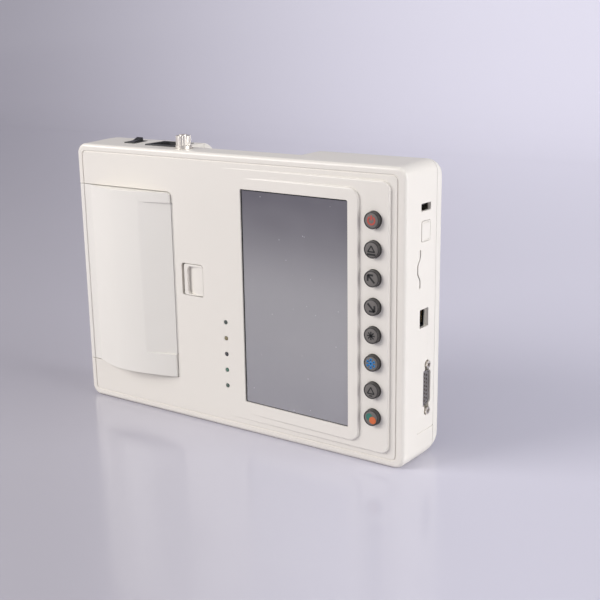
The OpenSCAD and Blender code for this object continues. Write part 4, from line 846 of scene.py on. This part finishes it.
def display_window():
    half_w, half_h = GLASS_W / 2 + GLASS_LIP, GLASS_H / 2 + GLASS_LIP
    glass = rounded_block("display_window", -half_w, half_w, GLASS_DEEP, GLASS_DEEP + GLASS_T,
                          -half_h, half_h, 1, "y", 3)
    return tidy(soften(display_place(glass), 0.2))


def window_border_and_shadow():
    """Dark printed border, seen as a thin line inside the opening, made wider at the left and top as a painted
    shadow of the bezel.
    """
    w, h, y = GLASS_W / 2, GLASS_H / 2, GLASS_DEEP
    ring = rounded_block("window_border_and_shadow", -w - 1, w + 1, y - 0.05, y + 0.01, -h - 1, h + 1, 1, "y", 3)
    # the clear middle sits off centre, so the black is wider at the left and top: painted shadow of the bezel's
    # walls on the glass
    carve(ring, block("clear", -w + 0.9, w - 0.5, y - 1, y + 1, -h + 0.5, h - 0.9))
    return tidy(display_place(ring))


dress(display_window(), window, "case", ["display_glass"])
dress(window_border_and_shadow(), black_gloss, "case")


def cap_ring(name):
    """Dark outer ring of a key cap with its stem and flange behind."""
    front = -panel_rise(KEY_X) - KEY_PROUD
    cap = rod(name, KEY_X, front, FACE_H / 2, 2.7 - front, KEY_D / 2, "y", 56)
    with editing(cap):
        pick(cap, "FACE", lambda f: f.normal.y < -0.99)
        bpy.ops.mesh.inset(thickness=0.35 * MM)
        bpy.ops.transform.translate(value=(0, -0.2 * MM, 0))
        bpy.ops.mesh.inset(thickness=0.35 * MM)
        bpy.ops.mesh.inset(thickness=0.25 * MM)
        bpy.ops.transform.translate(value=(0, 0.45 * MM, 0))
    soften(cap, 0.18, 2, 30)
    fuse(cap, rod("flange", KEY_X, WALL, FACE_H / 2, 1, KEY_D / 2 + 0.8, "y", 40))
    return tidy(cap, 50)


def cap_disc(name):
    """Lighter middle of a key cap, slightly domed."""
    front = -panel_rise(KEY_X) - KEY_PROUD
    disc = rod(name, KEY_X, front + 0.05, FACE_H / 2, 0.4, KEY_D / 2 - 0.9, "y", 48)
    with editing(disc):
        pick(disc, "FACE", lambda f: f.normal.y < -0.99)
        for inset, lift in ((0.5, 0.10), (1.0, 0.10), (1.4, 0.06)):
            bpy.ops.mesh.inset(thickness=inset * MM)
            bpy.ops.transform.translate(value=(0, -lift * MM, 0))
    return tidy(disc, 50)


def bar(x0, z0, x1, z1, width):
    """One stroke of a key symbol, from (x0, z0) to (x1, z1) round the key's middle."""
    length = math.hypot(x1 - x0, z1 - z0)
    stroke = block("stroke", -length / 2, length / 2, STROKE_Y, STROKE_Y + STROKE_T,
                   -width / 2, width / 2)
    turn = math.atan2(z1 - z0, x1 - x0)
    stroke.data.transform(Matrix.Translation(spot((x0 + x1) / 2, 0, (z0 + z1) / 2))
                          @ Matrix.Rotation(-turn, 4, "Y") @ Matrix.Translation(-spot(0, 0, 0)))
    return stroke


def stroke_ring(radius, width, first, last, steps=14):
    points = [(radius * math.cos(math.radians(first + (last - first) * k / steps)),
               radius * math.sin(math.radians(first + (last - first) * k / steps))) for k in range(steps + 1)]
    return [bar(*a, *b, width) for a, b in zip(points, points[1:])]


def symbol(name, strokes, row):
    front = -panel_rise(KEY_X) - KEY_PROUD - 0.17
    piece = join(strokes)
    piece.name = piece.data.name = name
    piece.data.transform(Matrix.Translation(spot(0, 0, 0)) @ Matrix.Diagonal((1.12, 1, 1.12, 1))
                         @ Matrix.Translation(-spot(0, 0, 0)))
    piece.data.transform(Matrix.Translation(spot(KEY_X, front, key_rows()[row]) - spot(0, 0, 0)))
    return tidy(piece)


def key_symbols():
    """What is printed on each cap, from the top key down, with its finish."""
    s = 2.3
    arrow = [bar(s, -s, -s, s, 1.2), bar(-s, s, s * 0.6, s, 1.2), bar(-s, s, -s, -s * 0.6, 1.2)]
    yield 0, symbol_red, stroke_ring(2.3, 1.0, -240, 60) + [bar(0, 0.2, 0, 3.1, 1.0)]
    yield 1, symbol_black, [bar(-2.2, -1.1, 0, 2.5, 0.8), bar(0, 2.5, 2.2, -1.1, 0.8),
                            bar(-2.5, -1.1, 2.5, -1.1, 0.9), bar(-2.7, -2.7, 2.7, -2.7, 1.2)]
    yield 2, symbol_black, arrow
    yield 3, symbol_black, [bar(-s, s, s, -s, 1.2), bar(s, -s, -s * 0.6, -s, 1.2),
                            bar(s, -s, s, s * 0.6, 1.2)]
    yield 4, symbol_black, [bar(-2.6 * math.cos(a), -2.6 * math.sin(a), 2.6 * math.cos(a),
                                2.6 * math.sin(a), 0.8) for a in (0, math.pi / 4, math.pi / 2, math.pi * 3 / 4)]
    flake = []
    for k in range(6):
        a = math.pi / 6 + k * math.pi / 3
        c, n = math.cos(a), math.sin(a)
        flake.append(bar(0, 0, 3.2 * c, 3.2 * n, 0.8))
        for side in (-0.6, 0.6):
            flake.append(bar(1.9 * c, 1.9 * n, 1.9 * c + 1.3 * math.cos(a + side),
                             1.9 * n + 1.3 * math.sin(a + side), 0.6))
    yield 5, symbol_blue, flake
    yield 6, symbol_black, [bar(-2.3, -1.6, 0, 2.4, 0.8), bar(0, 2.4, 2.3, -1.6, 0.8),
                            bar(-2.3, -1.6, 2.3, -1.6, 0.8), bar(-1.0, -3.0, 1.0, -3.0, 0.7)]
    yield 7, symbol_green, [rod("mark", 0, -0.12, 0, 0.3, 2.3, "y", 28)]


ring_model, disc_model = cap_ring("key_ring"), cap_disc("key_disc")
for row, z in enumerate(key_rows()):
    body = f"key_{row + 1}"
    shift = (0, 0, z - FACE_H / 2)
    dress(duplicate(ring_model, f"key_ring_{row + 1}", shift), key_rim, body, [body])
    dress(duplicate(disc_model, f"key_disc_{row + 1}", shift), key_face, body)
for model in (ring_model, disc_model):
    bpy.data.objects.remove(model)
for row, finish, strokes in key_symbols():
    piece = symbol(f"key_symbol_{row + 1}", strokes, row)
    if row == 7:
        piece.data.transform(Matrix.Translation(Vector((-1.1, 0, 0.7)) * MM))
        spot_mark = symbol("key_symbol_9", [rod("mark", 0, -0.16, 0, 0.3, 2.3, "y", 28)], row)
        spot_mark.data.transform(Matrix.Translation(Vector((1.5, -0.06, -1.3)) * MM))
        dress(spot_mark, symbol_orange, "key_8")
    dress(piece, finish, f"key_{row + 1}")


def light_finish(name, colour):
    finish = Finish(name, colour, 0.2, Coat_Weight=0.6)
    cloud = finish.noise(700, 1)
    finish.paint(finish.mix(shade(colour, 0.7), shade(colour, 1.3), cloud))
    return finish


LIGHT_COLOURS = [(0.020, 0.055, 0.036), (0.030, 0.11, 0.07), (0.014, 0.014, 0.018),
                 (0.16, 0.13, 0.05), (0.04, 0.06, 0.05)]
for i, (z, colour) in enumerate(zip(light_rows(), LIGHT_COLOURS)):
    lens = rod(f"status_light_{i + 1}", LIGHT_X, -0.35, z, 8.35, LIGHT_D / 2, "y", 28)
    with editing(lens):
        pick(lens, "FACE", lambda f: f.normal.y < -0.99)
        bpy.ops.mesh.bevel(offset=0.55 * MM, segments=4, affect="EDGES")
    dress(tidy(lens, 50), light_finish(f"light_{i + 1}", colour), "case", ["status_lights"])


# ---- the sockets in the right side ----

BEHIND = CASE_W - WALL - 0.1


def hollow_box(name, depth, y, z, width, height, wall):
    """A folded metal shell that is open towards the mouth in the wall."""
    shell = block(name, BEHIND - depth, BEHIND, y - width / 2, y + width / 2, z - height / 2, z + height / 2)
    carve(shell, block("inside", BEHIND - depth + 1, BEHIND + 1, y - width / 2 + wall, y + width / 2 - wall,
                       z - height / 2 + wall, z + height / 2 - wall))
    return tidy(soften(shell, 0.15))


def usb_socket():
    dress(hollow_box("usb_shell", 17, USB_Y, USB_Z, 14.4, 7, 0.6), nickel, "case", ["usb_jack"])
    tongue = block("usb_tongue", BEHIND - 16, BEHIND - 1.8, USB_Y - 5.4, USB_Y + 5.4, USB_Z + 0.2, USB_Z + 2)
    dress(tidy(soften(tongue, 0.2)), black_matt, "case")
    contacts = [block("contact", BEHIND - 10, BEHIND - 2.6, USB_Y + k * 2.4 - 0.6, USB_Y + k * 2.4 + 0.6,
                      USB_Z + 0.08, USB_Z + 0.3) for k in (-1.5, -0.5, 0.5, 1.5)]
    dress(tidy(join(contacts)), gold, "case")


def network_socket():
    dress(hollow_box("lan_shell", 21, LAN_Y, LAN_Z, 13.4, 16, 0.7), nickel, "case", ["lan_jack"])
    insert = block("lan_insert", BEHIND - 19.5, BEHIND - 0.3, LAN_Y - 5.9, LAN_Y + 5.9,
                   LAN_Z - 7.2, LAN_Z + 7.2)
    carve(insert, block("room", BEHIND - 14, BEHIND + 1, LAN_Y - 3.4, LAN_Y + 4.2, LAN_Z - 5.9, LAN_Z + 5.9))
    carve(insert, block("latch_room", BEHIND - 13, BEHIND + 2, LAN_Y - 5.2, LAN_Y - 3,
                        LAN_Z - 3.2, LAN_Z + 3.2))
    dress(tidy(soften(insert, 0.2)), black_matt, "case")
    wires = []
    for k in range(8):
        z = LAN_Z + (k - 3.5) * 1.02
        wire = block("wire", BEHIND - 11, BEHIND - 1.2, LAN_Y + 3.2, LAN_Y + 3.6, z - 0.2, z + 0.2)
        with editing(wire):
            pick(wire, "FACE", lambda f: f.normal.x < -0.9)
            bpy.ops.transform.translate(value=(0, -3.2 * MM, 0))
        wires.append(wire)
    dress(tidy(join(wires)), gold, "case")


def patient_socket():
    flange = rounded_block("patient_flange", BEHIND - 1, BEHIND, PORT_Y - 6.25, PORT_Y + 6.25,
                           PORT_Z - 19.6, PORT_Z + 19.6, 1.5, "x", 5)
    shell = carve(d_block("patient_shell", BEHIND - 12, CASE_W - 0.5, 0.45),
                  d_block("inside", BEHIND - 8, CASE_W, 0))
    fuse(flange, shell)
    dress(tidy(soften(flange, 0.12)), nickel, "case", ["patient_port"])
    insert = d_block("patient_insert", BEHIND - 9, CASE_W - 1.1, -0.1)
    holes = [(PORT_Y - PIN_ROW, PORT_Z + (k - 3.5) * PIN_PITCH) for k in range(8)]
    holes += [(PORT_Y + PIN_ROW, PORT_Z + (k - 3) * PIN_PITCH) for k in range(7)]
    carve(insert, *[rod("hole", CASE_W - 4, y, z, 4, 0.85, "x", 16) for y, z in holes])
    dress(tidy(soften(insert, 0.1)), port_grey, "case")
    tubes = []
    for y, z in holes:
        tube = rod("tube", CASE_W - 4, y, z, 2.2, 0.7, "x", 16)
        tubes.append(carve(tube, rod("bore", CASE_W - 3.4, y, z, 4, 0.34, "x", 12)))
    dress(tidy(join(tubes)), gold, "case")
    for name, z in zip(("low", "high"), port_screws()):
        post = rod(f"patient_standoff_{name}", BEHIND, PORT_Y, z, 3.9, 5 / math.sqrt(3), "x", 6)
        keep(post, cone_end(BEHIND, PORT_Y, z, 3.9))
        carve(post, rod("bore", CASE_W - 2, PORT_Y, z, 8, 1.3, "x", 24))
        dress(tidy(soften(post, 0.12)), dull_nickel, "case", ["port_standoffs"])


def cone_end(x, y, z, length):
    """A round bar with a chamfered outer end, which gives a hexagon its curved corners."""
    bar_end = rod("limit", x - 1, y, z, length + 1, 3.5, "x", 48)
    with editing(bar_end):
        pick(bar_end, "FACE", lambda f: f.normal.x > 0.9)
        bpy.ops.mesh.bevel(offset=0.9 * MM, segments=1, affect="EDGES")
    return bar_end


def blank_cover():
    """Cover over the unused socket: a plate with rounded corners and a fine clip slit at each end."""
    w, h = BLANK_W - 0.5, BLANK_H - 0.5
    cover = rounded_block("blank_cover", CASE_W - 1.4, CASE_W - 0.05, BLANK_Y - w / 2, BLANK_Y + w / 2,
                          BLANK_Z - h / 2, BLANK_Z + h / 2, 1.3, "x", 5)
    fuse(cover, rounded_block("plug", CASE_W - WALL - 1, CASE_W - 1.2,
                              BLANK_Y - w / 2 + 1.2, BLANK_Y + w / 2 - 1.2,
                              BLANK_Z - h / 2 + 1.2, BLANK_Z + h / 2 - 1.2, 0.8, "x", 3))
    soften(cover, 0.25, 3)
    for z in (BLANK_Z - h / 2 + 1.0, BLANK_Z + h / 2 - 1.0):
        carve(cover, block("slit", CASE_W - 0.5, CASE_W + 1, BLANK_Y - 3.6, BLANK_Y + 3.6,
                           z - 0.22, z + 0.22))
    dress(tidy(cover), case_white, "case", ["port_cover"])


usb_socket()
network_socket()
patient_socket()
blank_cover()


# ---- carried-over nodes and their finishes ----

FINISHES = {
    nickel: ["case_screws"],
    dull_nickel: ["ground_post", "ground_nut"],
    rubber: ["feet", "platen_roller"],
    rear_white: ["battery_hatch"],
    wrap: ["battery_pack"],
    foam: ["display_foam"],
    panel_back: ["display_panel"],
    sheet: ["display_frame", "ecg_shield", "card_reader", "power_supply", "drive_plate", "feed_motor"],
    steel: ["hinge_pins", "platen_shaft", "idler_pin", "tear_bar"],
    spring: ["head_springs", "latch_spring"],
    brass: ["platen_bushes", "motor_pinion", "board_pillars", "inlet_pins"],
    gear_white: ["platen_gear", "idler_gear"],
    board_green: ["key_board", "light_board", "main_board", "ecg_board"],
    black_matt: ["key_switches", "mains_inlet", "power_switch"],
    black_gloss: ["switch_rocker"],
    inner_grey: ["paper_bay", "paper_spindle", "latch_bar"],
    paper_white: ["paper_roll"],
    aluminium: ["head_sink"],
    socket_white: ["print_head"],
}
for finish, names in FINISHES.items():
    for name in names:
        node = nodes[name]
        node.data.materials.clear()
        node.data.materials.append(finish.material)


# ---- stage, light and camera ----


CAMERA_AT = Vector((0.47012, -0.61468, 0.29855))


def stage():
    """Pale floor that bends up into a backdrop, lit like paper and a little glossy."""
    clear_selection()
    bpy.ops.mesh.primitive_plane_add(size=1, location=(0, 0, 0))
    sweep = bpy.context.object
    sweep.name = sweep.data.name = "floor"
    sweep.scale = (9, 5, 1)
    sweep.location = (0, -1.0, -0.0002)
    settle(sweep)
    with editing(sweep):
        pick(sweep, "EDGE", lambda e: min(v.co.y for v in e.verts) > 1.4)
        radius = 1.0
        for k in range(1, 13):
            a = math.radians(90 * k / 12)
            b = math.radians(90 * (k - 1) / 12)
            bpy.ops.mesh.extrude_region_move(TRANSFORM_OT_translate={"value": (
                0, radius * (math.sin(a) - math.sin(b)), radius * (math.cos(b) - math.cos(a)))})
        bpy.ops.mesh.extrude_region_move(TRANSFORM_OT_translate={"value": (0, 0, 3)})
    make_active(sweep)
    bpy.ops.object.shade_smooth()
    finish = Finish("floor_sweep", (0.50, 0.49, 0.56), 0.16, Specular_IOR_Level=0.45,
                    Emission_Strength=1.0)
    # painted light: floor and backdrop are painted darker to the left of the view and lighter to the right, as
    # light falls off across the stage
    ahead = (finish.part("y") - CAMERA_AT.y).top(0.2)
    across = ((finish.part("x") - CAMERA_AT.x) / ahead).between(-1.25, -0.35)
    finish.paint(finish.mix((0.46, 0.445, 0.49), (0.61, 0.60, 0.68), across))
    # painted light: the far part glows a little to the camera, darker to the left and lighter to the right, in
    # place of a lit backdrop
    seen = finish.add("ShaderNodeLightPath", out="Is Camera Ray") * finish.part("y").between(-0.6, 2.2)
    glow = finish.mix((0.12, 0.115, 0.135), (0.36, 0.35, 0.40), across)
    finish.set("Emission Color", finish.mix((0, 0, 0), glow, seen))
    sweep.data.materials.append(finish.material)


def lamp(name, place, target, size, power, colour=(1, 1, 1)):
    light = bpy.data.lights.new(name, "AREA")
    light.shape = "RECTANGLE"
    light.size, light.size_y = size
    light.energy = power
    light.color = colour
    holder = bpy.data.objects.new(name, light)
    bpy.context.scene.collection.objects.link(holder)
    holder.location = place
    holder.rotation_euler = (Vector(target) - Vector(place)).to_track_quat("-Z", "Y").to_euler()
    holder.visible_camera = False


def camera():
    yaw, pitch, roll = math.radians(34.66), math.radians(14.88), math.radians(-0.85)
    ahead = Vector((-math.sin(yaw) * math.cos(pitch), math.cos(yaw) * math.cos(pitch), -math.sin(pitch)))
    right = Vector((math.cos(yaw), math.sin(yaw), 0))
    up = right.cross(ahead)
    side = right * math.cos(roll) + up * math.sin(roll)
    top = up * math.cos(roll) - right * math.sin(roll)
    view = bpy.data.cameras.new("camera")
    view.lens, view.sensor_width = 63.96, 36
    view.clip_start, view.clip_end = 0.01, 30
    holder = bpy.data.objects.new("camera", view)
    bpy.context.scene.collection.objects.link(holder)
    turn = Matrix((side, top, -ahead)).transposed().to_4x4()
    holder.matrix_world = Matrix.Translation(CAMERA_AT) @ turn
    bpy.context.scene.camera = holder


stage()
lamp("side_light", (1.8, 0.1, 0.6), (0, 0, 0.1), (1.2, 1.4), 29)
lamp("front_light", (-1.35, -1.5, 1.05), (0, 0, 0.1), (1.5, 1.1), 42, (1.0, 0.975, 0.955))
lamp("top_light", (-0.2, 0.2, 2.2), (0, 0, 0), (2.0, 2.0), 2)
camera()

world = bpy.context.scene.world or bpy.data.worlds.new("world")
bpy.context.scene.world = world
world.use_nodes = True
world.node_tree.nodes["Background"].inputs[0].default_value = (0.80, 0.79, 0.86, 1)
world.node_tree.nodes["Background"].inputs[1].default_value = 0.47

scene = bpy.context.scene
scene.view_settings.view_transform = "Standard"
